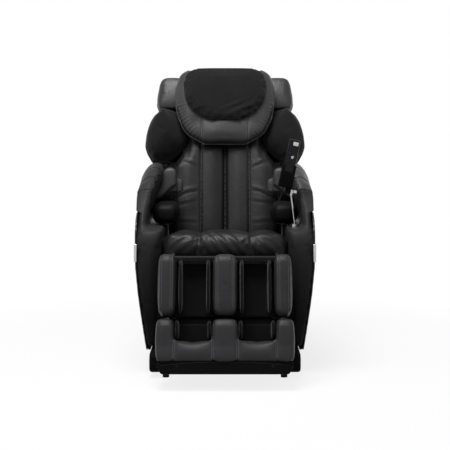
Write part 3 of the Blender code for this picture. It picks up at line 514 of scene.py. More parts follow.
def pad(name, nodes, finish, body, slot, sewn, frame_of=WORLD, voxel=0.006, cap=0.012, pressure=4.0,
        slack=0.015, easing=12):
    """A cushion that waits to be stuffed; sewn says from 0 to 1 how firmly a point is held."""
    made = dress(skin(name, nodes, voxel, easing), finish, body, slot, *nodes)
    inward = frame_of.inverted()
    group = made.vertex_groups.new(name="sewn")
    for vert in made.data.vertices:
        hold = min(1.0, max(0.0, sewn(inward @ vert.co)))
        if hold > 0.02:
            group.add([vert.index], hold, "REPLACE")
    PADS.append((made, cap, pressure, slack))
    return made


def near(distance, width):
    """1 on a line, falling to 0 beside it."""
    return math.exp(-((distance / width) ** 2))


print("stuffing kit ready")

# %% [markdown]
# Seat and back. The seat has two seams from front to rear that flare down its front; the back has a deep
# channel in the middle with a seam on either side, and its rear is tacked to the frame.

# %% Seat and back
SEAT_UNDERSIDE = 0.432
SEAT_REAR = 0.095
BACK_SEAM = 0.104
BACK_FACE = -0.066
BACK_TACKED = -0.062


def seat_seam(height):
    """Distance of the seat's seams from the middle, which flare as they go down the front."""
    return 0.100 + 0.02 * min(1.0, max(0.0, (0.53 - height) / 0.09))


def seat_sewn(p):
    seam = near(abs(p.x) - seat_seam(p.z), 0.008) if p.z > 0.44 and p.y < 0.09 else 0.0
    return max(seam, float(p.z < SEAT_UNDERSIDE), float(p.y > SEAT_REAR))


def back_sewn(p):
    front = float(p.y < BACK_FACE)
    lines = max(near(p.x, 0.012), near(abs(p.x) - BACK_SEAM, 0.008))
    return max(front * lines, float(p.y > BACK_TACKED))


seat = pad("seat_leather", ("seat_cushion",), LEATHER, "base", "leather", seat_sewn, voxel=0.007,
           cap=0.014, pressure=5.0, slack=0.008, easing=8)
back = pad("back_leather", ("back_pad",), LEATHER, "back", "leather", back_sewn, BACK, voxel=0.0072,
           cap=0.012, pressure=5.0, slack=0.004, easing=18)
print("seat and back cut:", len(seat.data.vertices), len(back.data.vertices), "points")

# %% [markdown]
# Head end: the loose pillow with its cloth panel, the two cloth pods that hug the shoulders and the leather
# wings over them. Of the pods and wings only the right one is sewn; the left one is its mirror image.

# %% Pillow, panel, pods and wings
PILLOW_SEAM = 0.100


def pillow_sewn(p):
    rear = float(p.y > -0.118)
    seams = near(abs(p.x) - PILLOW_SEAM, 0.007) if p.z < 0.57 and p.y < -0.125 else 0.0
    return max(rear, seams)


def panel_sewn(p):
    return float(p.y > -0.172)


def pod_sewn(p):
    return max(float(abs(p.x) < 0.196), float(p.y > 0.026))


def wing_sewn(p):
    return max(float(abs(p.x) < 0.194), float(p.y > 0.012))


pillow = pad("pillow_leather", ("pillow",), LEATHER_HOOD, "head_pillow", "leather", pillow_sewn, BACK,
             voxel=0.0055, cap=0.012, pressure=5.0, slack=0.008, easing=16)
panel = pad("pillow_panel", ("pillow_cover",), CLOTH, "head_pillow", "fabric", panel_sewn, BACK,
            voxel=0.0055, cap=0.008, slack=0.006, easing=8)
pod = pad("pod_cloth_right", ("pod_right",), CLOTH, "back", "fabric", pod_sewn, BACK,
          voxel=0.0055, cap=0.010, slack=0.006)
wing = pad("wing_leather_right", ("wing_right",), LEATHER_PALE, "back", "leather", wing_sewn, BACK,
           voxel=0.005, cap=0.006, slack=0.012, easing=8)
print("head end cut")

# %% [markdown]
# Arms: a padded side below, a hood that curls round the forearm, a pad in the channel and two loose flaps.
# Only the right arm is sewn; the left one is its mirror image.

# %% Arms
HOOD_SEAMS = (-0.142, -0.077, -0.007)


def arm_sewn(p):
    cross = max(near(p.y - seam, 0.007) for seam in HOOD_SEAMS) if p.z > 0.60 else 0.0
    channel = float(0.556 < p.z < 0.575 and p.x < 0.31)
    inner_side = float(p.x < 0.252 and p.z < 0.56)
    return max(cross, channel, inner_side, float(p.z < 0.12), float(p.y > 0.38))


def arm_pad_sewn(p):
    return float(p.z < 0.580)


def flap_sewn(p):
    return float(p.z < 0.665)


arm = pad("arm_leather_right", ("arm_body_right", "arm_hood_right"), LEATHER_SIDE, "base", "leather",
          arm_sewn, voxel=0.0078, cap=0.006, slack=0.005, easing=10)
# The forearm pad gets the darker leather copy: painted shade in the arm's pocket.
arm_pad = pad("arm_cushion_right", ("arm_pad_right",), LEATHER_DARK, "base", "leather", arm_pad_sewn,
              cap=0.007)
# The elbow flap gets the much paler copy: painted light against the hood's shadow.
flap = pad("arm_flap_leather_right", ("arm_flap_right",), LEATHER_FLAP, "base", "leather", flap_sewn,
           voxel=0.0045, cap=0.004)
print("right arm cut")

# %% [markdown]
# Leg rest: three upright calf pads, one joined foot pad, and the cloth-lined wells between them. Each upright
# pad has a seam near either edge, so its middle stands out as a band.

# %% Leg rest
SIDE_CALF_MIDDLE = 0.222
SIDE_CALF_HALF = 0.035
CENTRE_CALF_HALF = 0.044
FOOT_SEAMS = (0.046, 0.190)
LEG_FACE = -0.10
LEG_TACKED = -0.045


def calf_pad_sewn(middle, half):
    def sewn(p):
        seams = near(abs(p.x - middle) - half + 0.013, 0.006) if p.y < LEG_FACE else 0.0
        return max(seams, float(p.y > -0.042))
    return sewn


def foot_pad_sewn(p):
    seams = max(near(abs(p.x) - seam, 0.006) for seam in FOOT_SEAMS) if p.y < LEG_FACE else 0.0
    return max(seams, float(p.y > LEG_TACKED), float(p.z < -0.398))


def liner_sewn(p):
    return 1.0 if p.y > LEG_TACKED else 0.3


calf_right = pad("calf_leather_right", ("calf_pad_right",), LEATHER_LEG, "calf_rest", "leather",
                 calf_pad_sewn(SIDE_CALF_MIDDLE, SIDE_CALF_HALF), CALF,
                 voxel=0.005, cap=0.008, slack=0.004, easing=6)
calf_centre = pad("calf_leather_centre", ("calf_pad_centre",), LEATHER_LEG, "calf_rest", "leather",
                  calf_pad_sewn(0.0, CENTRE_CALF_HALF), CALF,
                  voxel=0.005, cap=0.008, slack=0.004, easing=6)
foot = pad("foot_leather", ("foot_pads",), LEATHER_LEG, "foot_rest", "leather", foot_pad_sewn, CALF,
           cap=0.008, slack=0.004, easing=6)
calf_liner = pad("calf_well_right", ("calf_liner_right",), WELL_CLOTH, "calf_rest", "fabric", liner_sewn,
                 CALF, voxel=0.005, cap=0.003, pressure=2.0, easing=4)
foot_liner = pad("foot_well_right", ("foot_liner_right",), WELL_CLOTH, "foot_rest", "fabric", liner_sewn,
                 CALF, voxel=0.005, cap=0.003, pressure=2.0, easing=4)
print("leg rest cut")

# %% [markdown]
# All the cushions are blown up side by side. No point may move farther than its cushion's cap, 14 millimetres
# at most, to keep them out of their neighbours, and the result becomes the mesh itself.

# %% Stuff the cushions
COVER_CLOTH = {"quality": 4, "mass": 0.25, "tension_stiffness": 12.0, "compression_stiffness": 8.0,
               "shear_stiffness": 5.0, "bending_stiffness": 1.5, "use_pressure": True}


def stuff(pads, frames):
    scene = bpy.context.scene
    for made, cap, pressure, slack in pads:
        stuffing = made.modifiers.new("stuffing", "CLOTH")
        for name, value in COVER_CLOTH.items():
            setattr(stuffing.settings, name, value)
        stuffing.settings.uniform_pressure_force = pressure
        stuffing.settings.shrink_min = -slack
        stuffing.settings.vertex_group_mass = "sewn"
        stuffing.settings.effector_weights.gravity = 0.0
        stuffing.collision_settings.use_collision = False
        stuffing.point_cache.frame_start = 1
        stuffing.point_cache.frame_end = frames
    for step in range(1, frames + 1):
        scene.frame_set(step)
    depsgraph = bpy.context.evaluated_depsgraph_get()
    for made, cap, pressure, slack in pads:
        blown = [vert.co.copy() for vert in made.evaluated_get(depsgraph).data.vertices]
        farthest = 0.0
        for vert, target in zip(made.data.vertices, blown):
            way = target - vert.co
            farthest = max(farthest, way.length)
            if way.length > cap:
                way *= cap / way.length
            vert.co += way
        made.modifiers.clear()
        print(made.name, "swelled by up to", round(1000 * farthest, 1), "mm")
    scene.frame_set(1)


stuff(PADS, SIMULATED_FRAMES)

# %% [markdown]
# The stuffed shapes still have to come closer to the photo. Three helpers do that: one moves every point by a
# rule, one smooths a part of a cushion, and one gives some of its faces a second finish.

# %% Shaping kit


def clamp(value):
    return min(1.0, max(0.0, value))


def side_of(value):
    return math.copysign(1.0, value)


def work_over(piece, frame_of, move):
    """Moves every point of a cushion by what move(point, normal) says, in the frame given."""
    inward = frame_of.inverted()
    outward = frame_of.to_3x3()
    turned = outward.inverted()
    places = [(inward @ vert.co, turned @ vert.normal) for vert in piece.data.vertices]
    for vert, (point, normal) in zip(piece.data.vertices, places):
        vert.co += outward @ move(point, normal)


def ease_part(piece, frame_of, chosen, rounds):
    """Smooths the part of a cushion for which chosen(point) holds."""
    inward = frame_of.inverted()
    shape = bmesh.new()
    shape.from_mesh(piece.data)
    part = [vert for vert in shape.verts if chosen(inward @ vert.co)]
    for turn in range(rounds):
        bmesh.ops.smooth_vert(shape, verts=part, factor=0.5,
                              use_axis_x=True, use_axis_y=True, use_axis_z=True)
    shape.to_mesh(piece.data)
    shape.free()


def paint(piece, finish, chosen):
    """Gives the faces for which chosen(middle) holds a second finish."""
    piece.data.materials.append(finish)
    for face in piece.data.polygons:
        if chosen(face.center):
            face.material_index = 1


print("shaping kit ready")

# %% [markdown]
# A cushion's outline is narrowed or drawn out where the real one is slimmer or fuller than its solid: by up
# to about three centimetres, and by more at the pillow's upper corners and the lower ends of the elbow flaps.
# The fronts of the back, the pillow, the foot pads and the arms are smoothed first, so that no facet of the
# solid shows in the shine.

# %% Shaping
ARM_SIDE = 0.2445
SHELL_TOP = 0.626
SHELL_SIDE = 0.3515
ELBOW_FILLER = 0.072


def seat_corners(p, normal):
    """The seat's front corners are drawn out almost to the arms."""
    corner = clamp((abs(p.x) - 0.16) / 0.06) * clamp((-0.14 - p.y) / 0.12) * clamp((p.z - 0.44) / 0.03)
    room = max(0.0, ARM_SIDE - abs(p.x))
    return Vector((side_of(p.x) * min(0.018 * corner, room), -0.006 * corner, 0.0))


def drawn_in(p, start):
    """The share by which back and pods are drawn towards the middle, above a height."""
    return 0.13 * clamp((p.z - start) / 0.045) * clamp((0.60 - p.z) / 0.12)


def back_shoulders(p, normal):
    """Above the arms the back curves in, to leave room for the pods."""
    return Vector((-drawn_in(p, 0.362) * clamp((abs(p.x) - 0.12) / 0.06) * p.x, 0.0, 0.0))


def pod_fill(p, normal):
    """The pods follow the back's curve, so their lower ends are fuller."""
    return Vector((-drawn_in(p, 0.375) * clamp((0.275 - p.x) / 0.05) * p.x, 0.0, 0.0))


def wing_taper(p, normal):
    """The wings get narrower towards the top."""
    return Vector((-0.012 * clamp((p.z - 0.68) / 0.12) * clamp((p.x - 0.19) / 0.03), 0.0, 0.0))


def pillow_outline(p, normal):
    """Narrower and flatter at the bottom, with upper corners that stand up beside the panel."""
    low = clamp((0.680 - p.z) / 0.166)
    narrow = 0.11 * low * low * (3.0 - 2.0 * low)
    flat = 0.011 * clamp(1.0 - (p.x / 0.11) ** 2) * clamp((0.50 - p.z) / 0.03)
    ears = 0.046 * clamp((p.z - 0.63) / 0.10) * clamp((abs(p.x) - 0.11) / 0.05)
    return Vector((-narrow * p.x, 0.0, flat + ears))


def flap_sweep(p, normal):
    """The lower end of an elbow flap sweeps out into the arm, so that the flap looks like a leaf."""
    across = clamp((p.x - 0.203) / 0.0525)
    low = clamp((0.724 - p.z) / 0.068) if p.x > 0.203 else clamp((0.695 - p.z) / 0.039)
    sweep = (0.075 - 0.035 * across) * low + 0.017 * across * clamp((0.79 - p.z) / 0.066)
    return Vector((sweep * clamp((0.275 - p.x) / 0.013), 0.0, 0.0))


def arm_pad_outline(p, normal):
    """The inner side of the forearm pad is moved out, away from the seat."""
    return Vector((0.018 * clamp((0.23 - p.x) / 0.05), 0.0, 0.0))


def calf_outline(p, normal):
    """Slimmer at the chair's sides, and a little shorter at the top."""
    slim = 0.0075 * clamp((abs(p.x) - 0.222) / 0.03)
    return Vector((-slim * side_of(p.x), 0.0, -0.008 * clamp((p.z + 0.03) / 0.034)))


def foot_outline(p, normal):
    """Slimmer at the sides, and with a lower edge that hangs over the tray."""
    hang = clamp((-0.355 - p.z) / 0.04) * clamp((-0.085 - p.y) / 0.03)
    slim = 0.006 * clamp((abs(p.x) - 0.22) / 0.03)
    return Vector((-slim * side_of(p.x), -0.010 * hang, -0.012 * hang))


def hood_swell(p, normal):
    """Above the shell's edge the hood stands out until it is flush with the shell."""
    above = clamp((p.z - SHELL_TOP) / 0.006) * clamp((0.76 - p.z) / 0.06)
    over = above * clamp(normal.x / 0.4) * clamp((p.x - 0.32) / 0.01)
    full = 0.0025 * clamp((p.z - 0.64) / 0.03)
    return normal * full + Vector((over * max(0.0, SHELL_SIDE - p.x), 0.0, 0.0))


ease_part(back, BACK, lambda p: p.y < -0.075 and abs(p.x) < 0.20 and 0.04 < p.z < 0.62, 60)
ease_part(pillow, BACK, lambda p: p.y < -0.130, 40)
ease_part(foot, CALF, lambda p: p.y < LEG_FACE and 0.055 < abs(p.x) < 0.182, 40)
ease_part(arm, WORLD, lambda p: 0.56 < p.z < 0.70 and p.y < -0.06 and p.x > 0.26, 24)
work_over(seat, WORLD, seat_corners)
work_over(back, BACK, back_shoulders)
work_over(pod, BACK, pod_fill)
work_over(wing, BACK, wing_taper)
work_over(pillow, BACK, pillow_outline)
work_over(flap, WORLD, flap_sweep)
work_over(arm_pad, WORLD, arm_pad_outline)
work_over(calf_right, CALF, calf_outline)
work_over(calf_centre, CALF, calf_outline)
work_over(foot, CALF, foot_outline)
work_over(arm, WORLD, hood_swell)
# Painted light: the hood's top, behind its first seam, gets the paler leather copy.
paint(arm, LEATHER_HOOD, lambda p: p.z > 0.60 and p.y > HOOD_SEAMS[0])
# Painted shade: the flap's rear part, the filler deep in the arm's pocket, gets the darker leather copy.
paint(flap, LEATHER_DARK, lambda p: p.y > ELBOW_FILLER)
print("cushions shaped")

# %% [markdown]
# Stuffing alone leaves soft lines. Here the main seams are drawn in as narrow furrows, and the covers get the
# few large folds that the photo shows: slanting ones over the seat's front and on the head panel, level ones
# beside the back's seams and a row of gathers round the pillow's lower corners.

# %% Seams and folds
BACK_FOLDS = ((0.110, 0.1, 0.8), (0.200, -0.2, 0.6), (0.245, -0.35, 1.4), (0.375, 0.4, 0.8))


def uneven(value, scale):
    """A slow random swing between about -1 and 1 along a line."""
    return noise.noise(Vector((value * scale, 3.7, 1.3)))


def seat_folds(p, normal):
    seam = near(abs(p.x) - seat_seam(p.z), 0.0045) * clamp((p.z - 0.435) / 0.01)
    run = 0.55 - p.z - p.y
    roll = near(run - 0.34, 0.07) * clamp((p.z - 0.45) / 0.04)
    slant = math.sin((p.x - 0.55 * run + 0.012 * uneven(p.x, 14.0)) / 0.0062)
    middle = clamp((0.094 - abs(p.x)) / 0.03)
    sides = clamp((abs(p.x) - 0.12) / 0.03) * math.sin((abs(p.x) - 1.1 * run) / 0.0095)
    return normal * (roll * (0.0023 * middle * slant + 0.0014 * sides) - 0.006 * seam)


def back_folds(p, normal):
    """A deep channel, two seams, and level folds given by their height, rise and size."""
    front = clamp((-0.070 - p.y) / 0.012)
    channel = 0.016 * near(p.x, 0.0075)
    seam = 0.0065 * near(abs(p.x) - BACK_SEAM, 0.0045)
    beside = clamp((abs(p.x) - 0.110) / 0.02)
    level = 0.0
    for height, rise, size in BACK_FOLDS:
        off = p.z - height - rise * (abs(p.x) - 0.15) - 0.006 * uneven(p.x + height, 22.0)
        level += size * (near(off - 0.008, 0.010) - near(off + 0.006, 0.006))
    return normal * front * 0.0013 * beside * level + Vector((0.0, front * (channel + seam), 0.0))


def pillow_folds(p, normal):
    front = clamp((-0.122 - p.y) / 0.012)
    seam = near(abs(p.x) - PILLOW_SEAM, 0.004) * clamp((0.575 - p.z) / 0.02)
    turn = math.atan2(p.z - 0.63, p.x)
    out = math.hypot(p.x / 0.215, (p.z - 0.61) / 0.168)
    rim = clamp((out - 0.72) / 0.2)
    corner = clamp((abs(p.x) - 0.105) / 0.03) * clamp((0.70 - p.z) / 0.06)
    gathers = math.sin(74.0 * turn + 2.0 * uneven(turn, 5.0)) * (0.5 + 0.5 * uneven(turn, 9.0))
    return normal * front * (0.0028 * rim * corner * gathers - 0.0055 * seam)


def panel_folds(p, normal):
    front = clamp((-0.176 - p.y) / 0.006)
    low = near(p.z - 0.60, 0.035) * near(p.x - 0.06, 0.06)
    out = math.hypot(p.x / 0.175, (p.z - 0.70) / 0.155)
    border = near(out - 0.80, 0.03) * clamp((0.73 - p.z) / 0.03)
    return normal * front * (0.0032 * low * math.sin((p.z - 0.45 * p.x) / 0.0055) - 0.0012 * border)


def arm_folds(p, normal):
    cross = max(near(p.y - seam, 0.0035) for seam in HOOD_SEAMS) * clamp((p.z - 0.61) / 0.02)
    front = clamp((-0.29 - p.y) / 0.02) * near(p.x - 0.333, 0.003)
    return normal * -0.0032 * (cross + front)


def edge_seams(lines, depth, width):
    """Furrows down the front of a leg-rest pad, at these distances from the middle of the chair."""
    def folds(p, normal):
        front = clamp((-0.09 - p.y) / 0.01)
        return normal * -depth * front * max(near(abs(p.x) - line, width) for line in lines)
    return folds


work_over(seat, WORLD, seat_folds)
work_over(back, BACK, back_folds)
work_over(pillow, BACK, pillow_folds)
work_over(panel, BACK, panel_folds)
work_over(arm, WORLD, arm_folds)
work_over(calf_right, CALF, edge_seams((0.2005, 0.2395), 0.0030, 0.003))
work_over(calf_centre, CALF, edge_seams((0.0295,), 0.0030, 0.003))
work_over(foot, CALF, edge_seams(FOOT_SEAMS, 0.0045, 0.0035))
print("seams and folds worked in")

# %% [markdown]
# Piping hides the joins between panels. Its line is read off the stuffed cushion itself: the farthest point
# in every direction gives an outline, and the farthest point of every slice gives a lip. A sewn line lies
# where rays first meet the cushion.

# %% Piping kit
HOOD_FOOT = 0.62
HOOD_MIDDLE = (0.30, 0.70)


def outline_of(piece, frame_of, steps=64):
    """Points round the widest outline of a cushion, as seen along Y in the frame given."""
    inward = frame_of.inverted()
    places = [inward @ vert.co for vert in piece.data.vertices]
    line = []
    for step in range(steps):
        turn = 2.0 * math.pi * step / steps
        way = Vector((math.cos(turn), 0.0, math.sin(turn)))
        farthest = frame_of @ max(places, key=way.dot)
        if not line or (farthest - line[-1]).length > 0.004:
            line.append(farthest)
    return line


def lip_of(piece, start, end, step, way):
    """The farthest points of a hood in one direction, slice by slice along Y."""
    line = []
    for number in range(round((end - start) / step)):
        low = start + number * step
        slice_points = [vert.co for vert in piece.data.vertices
                        if low <= vert.co.y < low + step and vert.co.z > HOOD_FOOT]
        line.append(max(slice_points, key=Vector(way).dot).copy())
    return line


def piping(name, line, radius, finish, body, slot, closed=False):
    made = tube_curve(name, bowed(line, 4), radius)
    made.data.bevel_resolution = 2
    made.data.splines[0].use_cyclic_u = closed
    return dress(bake_curve(made), finish, body, slot)


def bake_curve(curve):
    """The same tube as a mesh."""
    mesh = bpy.data.meshes.new_from_object(curve)
    made = bpy.data.objects.new(curve.name + "_piping", mesh)
    bpy.context.scene.collection.objects.link(made)
    bpy.data.objects.remove(curve)
    return made


def sewn_line(name, piece, rays, radius, finish, slot):
    """A thread on a cushion, where rays (start, direction) first meet it."""
    shape = bmesh.new()
    shape.from_mesh(piece.data)
    surface = BVHTree.FromBMesh(shape)
    shape.free()
    hits = [surface.ray_cast(Vector(start), Vector(way))[0] for start, way in rays]
    return piping(name, [hit for hit in hits if hit], radius, finish, piece["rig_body"], slot)


def from_front(frame_of, across, low, high, steps=14):
    """Rays along a line up the front of a cushion, in the frame given."""
    way = frame_of.to_3x3() @ Vector((0.0, 1.0, 0.0))
    heights = [low + (high - low) * step / steps for step in range(steps + 1)]
    return [(frame_of @ Vector((across, -0.5, height)), way) for height in heights]


def round_hood(along, steps=16):
    """Rays towards the middle of the right arm's hood, in the slice at this Y."""
    rays = []
    for step in range(steps + 1):
        turn = math.radians(-5.0 + 120.0 * step / steps)
        out = Vector((math.cos(turn), 0.0, math.sin(turn)))
        rays.append((Vector((HOOD_MIDDLE[0], along, HOOD_MIDDLE[1])) + 0.3 * out, -out))
    return rays


def below(line, frame_of, height):
    """The part of a closed outline under a height in the frame given, from one end to the other."""
    inward = frame_of.inverted()
    top = max(range(len(line)), key=lambda number: (inward @ line[number]).z)
    return [point for point in line[top:] + line[:top] if (inward @ point).z < height]


print("piping kit ready")

# %% [markdown]
# Piping runs round the wings and the pods, along the lower edges of the pillow and its panel, and along the
# lip of the arm's hood. The hood's cross seams are dark lines. Fine threads run in pairs beside the seams of
# the leg rest and of the pillow.

# %% Piping and threads
HOOD_LIP = lip_of(arm, -0.18, 0.19, 0.02, (-0.9, 0.0, 0.35))
THREAD_RADIUS = 0.0006
CALF_THREAD_ENDS = (-0.225, -0.012)
FOOT_THREAD_ENDS = (-0.40, -0.268)
PILLOW_THREAD_ENDS = (0.465, 0.56)
PILLOW_THREADS = 0.098


def thread(name, piece, rays):
    return sewn_line(name, piece, rays, THREAD_RADIUS, THREAD, "leather")


piping("pillow_edge", below(outline_of(pillow, BACK), BACK, 0.72), 0.0028, LEATHER_HOOD, "head_pillow",
       "leather")
piping("panel_edge", below(outline_of(panel, BACK), BACK, 0.75), 0.0022, CLOTH, "head_pillow", "fabric")
wing_cord = piping("wing_edge_right", outline_of(wing, BACK), 0.0024, LEATHER_PALE, "back", "leather", True)
pod_cord = piping("pod_edge_right", outline_of(pod, BACK), 0.0034, LEATHER_DARK, "back", "leather", True)
lip_cord = piping("hood_edge_right", HOOD_LIP, 0.0026, LEATHER, "base", "leather")
HOOD_LINES = [sewn_line(f"hood_seam_{number}_right", arm, round_hood(along), 0.0019, LEATHER_DARK, "leather")
              for number, along in enumerate(HOOD_SEAMS)]
CALF_LINES = [thread(f"calf_thread_{number}_right", calf_right, from_front(CALF, across, *CALF_THREAD_ENDS))
              for number, across in enumerate((0.1965, 0.2040, 0.2365, 0.2430))]
for number, across in enumerate((-0.0335, -0.0265, 0.0265, 0.0335)):
    thread(f"calf_thread_{number}_centre", calf_centre, from_front(CALF, across, *CALF_THREAD_ENDS))
for number, seam in enumerate(FOOT_SEAMS):
    for side in (-1, 1):
        for beside in (-0.0035, 0.0035):
            rays = from_front(CALF, side * (seam + beside), *FOOT_THREAD_ENDS)
            thread(f"foot_thread_{number}_{side}_{beside}", foot, rays)
for side in (-1, 1):
    for beside in (-0.004, 0.004):
        rays = from_front(BACK, side * (PILLOW_THREADS + beside), *PILLOW_THREAD_ENDS)
        thread(f"pillow_thread_{side}_{beside}", pillow, rays)
print("piping and threads laid")

# %% [markdown]
# Moulded covers. The side shells, the rear cover, the base covers and the foot tray are thin mouldings with
# rounded edges, so they are remeshed finely and eased; small hard pieces only get their edges bevelled.

# %% Covers
SHARP_EDGE = math.radians(35.0)


def moulding(name, node, finish, body, slot, voxel, easing):
    return dress(skin(name, (node,), voxel, easing), finish, body, slot, node)


def softened(name, node, finish, body, slot, width):
    """A copy of a CAD solid with its sharp edges rounded off."""
    shape = bmesh.new()
    shape.from_mesh(NODES[node].data)
    bmesh.ops.remove_doubles(shape, verts=shape.verts, dist=MERGE_DISTANCE)
    bmesh.ops.dissolve_limit(shape, angle_limit=math.radians(1.0), verts=shape.verts, edges=shape.edges)
    sharp = [edge for edge in shape.edges if edge.is_manifold and edge.calc_face_angle() > SHARP_EDGE]
    bmesh.ops.bevel(shape, geom=sharp, offset=width, segments=2, profile=0.5, affect="EDGES",
                    clamp_overlap=True, material=-1)
    made = dress(new_object(name, shape), finish, body, slot, node)
    made.data.set_sharp_from_angle(angle=math.radians(40.0))
    return made


shell = moulding("side_shell_right", "arm_shell_right", GLOSS, "base", "gloss_plastic", 0.005, 4)
base_cover = moulding("base_moulding_right", "base_cover_right", PLASTIC, "base", "matt_plastic", 0.004, 8)
moulding("rear_moulding", "rear_cover", GLOSS, "back", "gloss_plastic", 0.0055, 5)
tray = moulding("foot_moulding", "foot_tray", PLASTIC, "foot_rest", "matt_plastic", 0.005, 4)
softened("holder_cradle", "remote_holder", PLASTIC, "holder", "matt_plastic", 0.0008)
softened("handset_case", "handset", GLASS, "hand_control", "matt_plastic", 0.0012)


def tray_keel(p, normal):
    """The tray's front edge reaches down a little, and its underside rises from there towards the rear."""
    low = clamp((-0.42 - p.z) / 0.02)
    rise = 0.025 * clamp((p.y + 0.110) / 0.07) - 0.006 * clamp((-0.104 - p.y) / 0.01)
    return Vector((0.0, 0.0, low * rise))


work_over(tray, CALF, tray_keel)
ease_part(base_cover, WORLD, lambda p: p.x > 0.285, 14)
print("covers made")

# %% [markdown]
# Trim is small and plain, so two helpers make nearly all of it: a plate with bevelled edges and a screw.

# %% Trim kit


def slab(name, low, high, frame_of, finish, body, slot, width):
    """A thin plate with bevelled edges, in the frame given."""
    shape = bmesh.new()
    bmesh.ops.create_cube(shape, size=1.0)
    low, high = Vector(low), Vector(high)
    bmesh.ops.scale(shape, vec=high - low, verts=shape.verts)
    bmesh.ops.translate(shape, vec=(low + high) / 2, verts=shape.verts)
    bmesh.ops.bevel(shape, geom=shape.edges, offset=width, segments=3, profile=0.5, affect="EDGES",
                    clamp_overlap=True, material=-1)
    shape.transform(frame_of)
    return dress(new_object(name, shape), finish, body, slot)


def screw(name, place, frame_of, radius, finish, body, slot):
    """A round head with a sunk round socket, facing -Y in the frame given."""
    shape = bmesh.new()
    bmesh.ops.create_circle(shape, cap_ends=True, radius=radius, segments=24)
    grown = bmesh.ops.extrude_face_region(shape, geom=shape.faces)
    raised = [item for item in grown["geom"] if isinstance(item, bmesh.types.BMVert)]
    bmesh.ops.translate(shape, vec=(0.0, 0.0, 0.3 * radius), verts=raised)
    top = [face for face in shape.faces if all(vert in raised for vert in face.verts)]
    bmesh.ops.inset_region(shape, faces=top, thickness=0.2 * radius, depth=0.12 * radius)
    bmesh.ops.inset_region(shape, faces=top, thickness=0.35 * radius, depth=0.0)
    bmesh.ops.inset_region(shape, faces=top, thickness=0.05 * radius, depth=-0.3 * radius)
    bmesh.ops.recalc_face_normals(shape, faces=shape.faces)
    shape.transform(frame_of @ Matrix.Translation(place) @ Matrix.Rotation(math.radians(90.0), 4, "X"))
    return dress(new_object(name, shape), finish, body, slot)


print("trim kit ready")

# %% [markdown]
# A silver clip on the front edge of either shell, a screw at either end of the foot tray's front, and on the
# handset a dark window, a bright plate and rows of keys.

# %% Trim
KEY_ROWS = 3
KEY_PITCH = 0.0145
KEY_REACH = Vector((0.0042, 0.0012, 0.0038))
clip = slab("silver_clip_right", (0.3430, -0.3170, 0.440), (0.3545, -0.2950, 0.510), WORLD, SILVER, "base",
            "bright_metal", 0.0025)
cover_screw = screw("cover_screw_right", (0.177, -0.1268, -0.4285), CALF, 0.0048, STEEL, "foot_rest",
                    "painted_steel")
slab("handset_window", (-0.0185, -0.0116, 0.112), (0.0185, -0.0100, 0.200), REMOTE, GLASS, "hand_control",
     "matt_plastic", 0.0005)
slab("handset_plate", (-0.004, -0.0124, 0.182), (0.0165, -0.0110, 0.1965), REMOTE, SILVER, "hand_control",
     "bright_metal", 0.0005)
for row in range(KEY_ROWS):
    for column in (-1, 1):
        middle = Vector((0.0112 * column, -0.0118, 0.118 + KEY_PITCH * row))
        slab(f"handset_key_{row}_{column}", middle - KEY_REACH, middle + KEY_REACH, REMOTE, RUBBER,
             "hand_control", "rubber", 0.0009)
print("trim fitted")

# %% [markdown]
# Dark cloth closes the slits where light would show through: at the elbow, beside the back, between back and
# arm, and behind the gap between the calf and foot pads. Its darkness is painted shade, the shade that lies
# in these slits. A sill closes the shell's lower edge, and a fine crease runs across the foot tray's front.

# %% Linings
elbow = slab("elbow_lining_right", (0.2280, 0.1210, 0.600), (0.3100, 0.1270, 0.800), WORLD, WELL_CLOTH,
             "base", "fabric", 0.002)
gusset = slab("back_gusset_right", (0.1700, -0.0440, 0.050), (0.2440, -0.0400, 0.400), BACK, WELL_CLOTH,
              "back", "fabric", 0.0015)
welt = slab("arm_welt_right", (0.2442, 0.2050, 0.440), (0.2480, 0.2110, 0.600), WORLD, WELL_CLOTH,
            "base", "fabric", 0.0008)
sill = slab("shell_sill_right", (0.2925, -0.2850, 0.0885), (0.3035, 0.3300, 0.125), WORLD, PLASTIC,
            "base", "matt_plastic", 0.003)
TRAY_CREASE = [(0.03 * step, -0.1285, -0.414 - 0.014 * (step / 8.0) ** 2) for step in range(-8, 9)]
piping("tray_crease", [CALF @ Vector(point) for point in TRAY_CREASE], 0.0012, STEEL, "foot_rest",
       "matt_plastic")
# Painted shade: a dark strip behind the gap between the calf and foot pads.
slab("gap_shade_strip", (-0.18, 0.003, -0.275), (0.18, 0.006, -0.205), CALF, WELL_CLOTH, "foot_rest", "fabric",
     0.001)
print("linings fitted")

# %% [markdown]
# The left side is the right side in a mirror. A mirrored mesh is inside out, so its faces are turned round.

# %% Mirror images


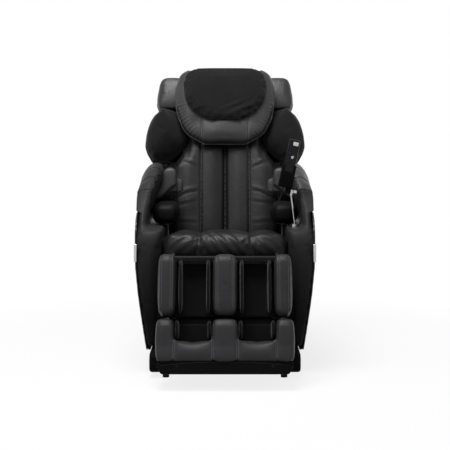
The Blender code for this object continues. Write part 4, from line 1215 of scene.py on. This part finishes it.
def mirror_piece(piece, name, slot, *nodes):
    shape = bmesh.new()
    shape.from_mesh(piece.data)
    bmesh.ops.scale(shape, vec=(-1.0, 1.0, 1.0), verts=shape.verts)
    bmesh.ops.reverse_faces(shape, faces=shape.faces)
    made = new_object(name, shape)
    dress(made, piece.data.materials[0], piece["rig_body"], slot, *nodes)
    for finish in piece.data.materials[1:]:
        made.data.materials.append(finish)
    return made


CUSHIONS = [made for made, cap, pressure, slack in PADS]
for piece, name, slot, *nodes in (
        (pod, "pod_cloth_left", "fabric", "pod_left"),
        (wing, "wing_leather_left", "leather", "wing_left"),
        (arm, "arm_leather_left", "leather", "arm_body_left", "arm_hood_left"),
        (arm_pad, "arm_cushion_left", "leather", "arm_pad_left"),
        (flap, "arm_flap_leather_left", "leather", "arm_flap_left"),
        (calf_right, "calf_leather_left", "leather", "calf_pad_left"),
        (calf_liner, "calf_well_left", "fabric", "calf_liner_left"),
        (foot_liner, "foot_well_left", "fabric", "foot_liner_left")):
    CUSHIONS.append(mirror_piece(piece, name, slot, *nodes))
for piece, name, slot, *nodes in (
        (wing_cord, "wing_edge_left_piping", "leather"),
        (pod_cord, "pod_edge_left_piping", "leather"),
        (lip_cord, "hood_edge_left_piping", "leather"),
        (shell, "side_shell_left", "gloss_plastic", "arm_shell_left"),
        (base_cover, "base_moulding_left", "matt_plastic", "base_cover_left"),
        (clip, "silver_clip_left", "bright_metal"),
        (elbow, "elbow_lining_left", "fabric"),
        (welt, "arm_welt_left", "fabric"),
        (sill, "shell_sill_left", "matt_plastic"),
        (gusset, "back_gusset_left", "fabric"),
        (cover_screw, "cover_screw_left", "painted_steel")):
    mirror_piece(piece, name, slot, *nodes)
for line in HOOD_LINES + CALF_LINES:
    mirror_piece(line, line.name.replace("right", "left"), "leather")
print(len(CUSHIONS), "cushions")

# %% [markdown]
# A last subdivision makes the skins smooth.

for cushion in CUSHIONS:
    finer = cushion.modifiers.new("finer", "SUBSURF")
    finer.levels = 1
    finer.render_levels = 1
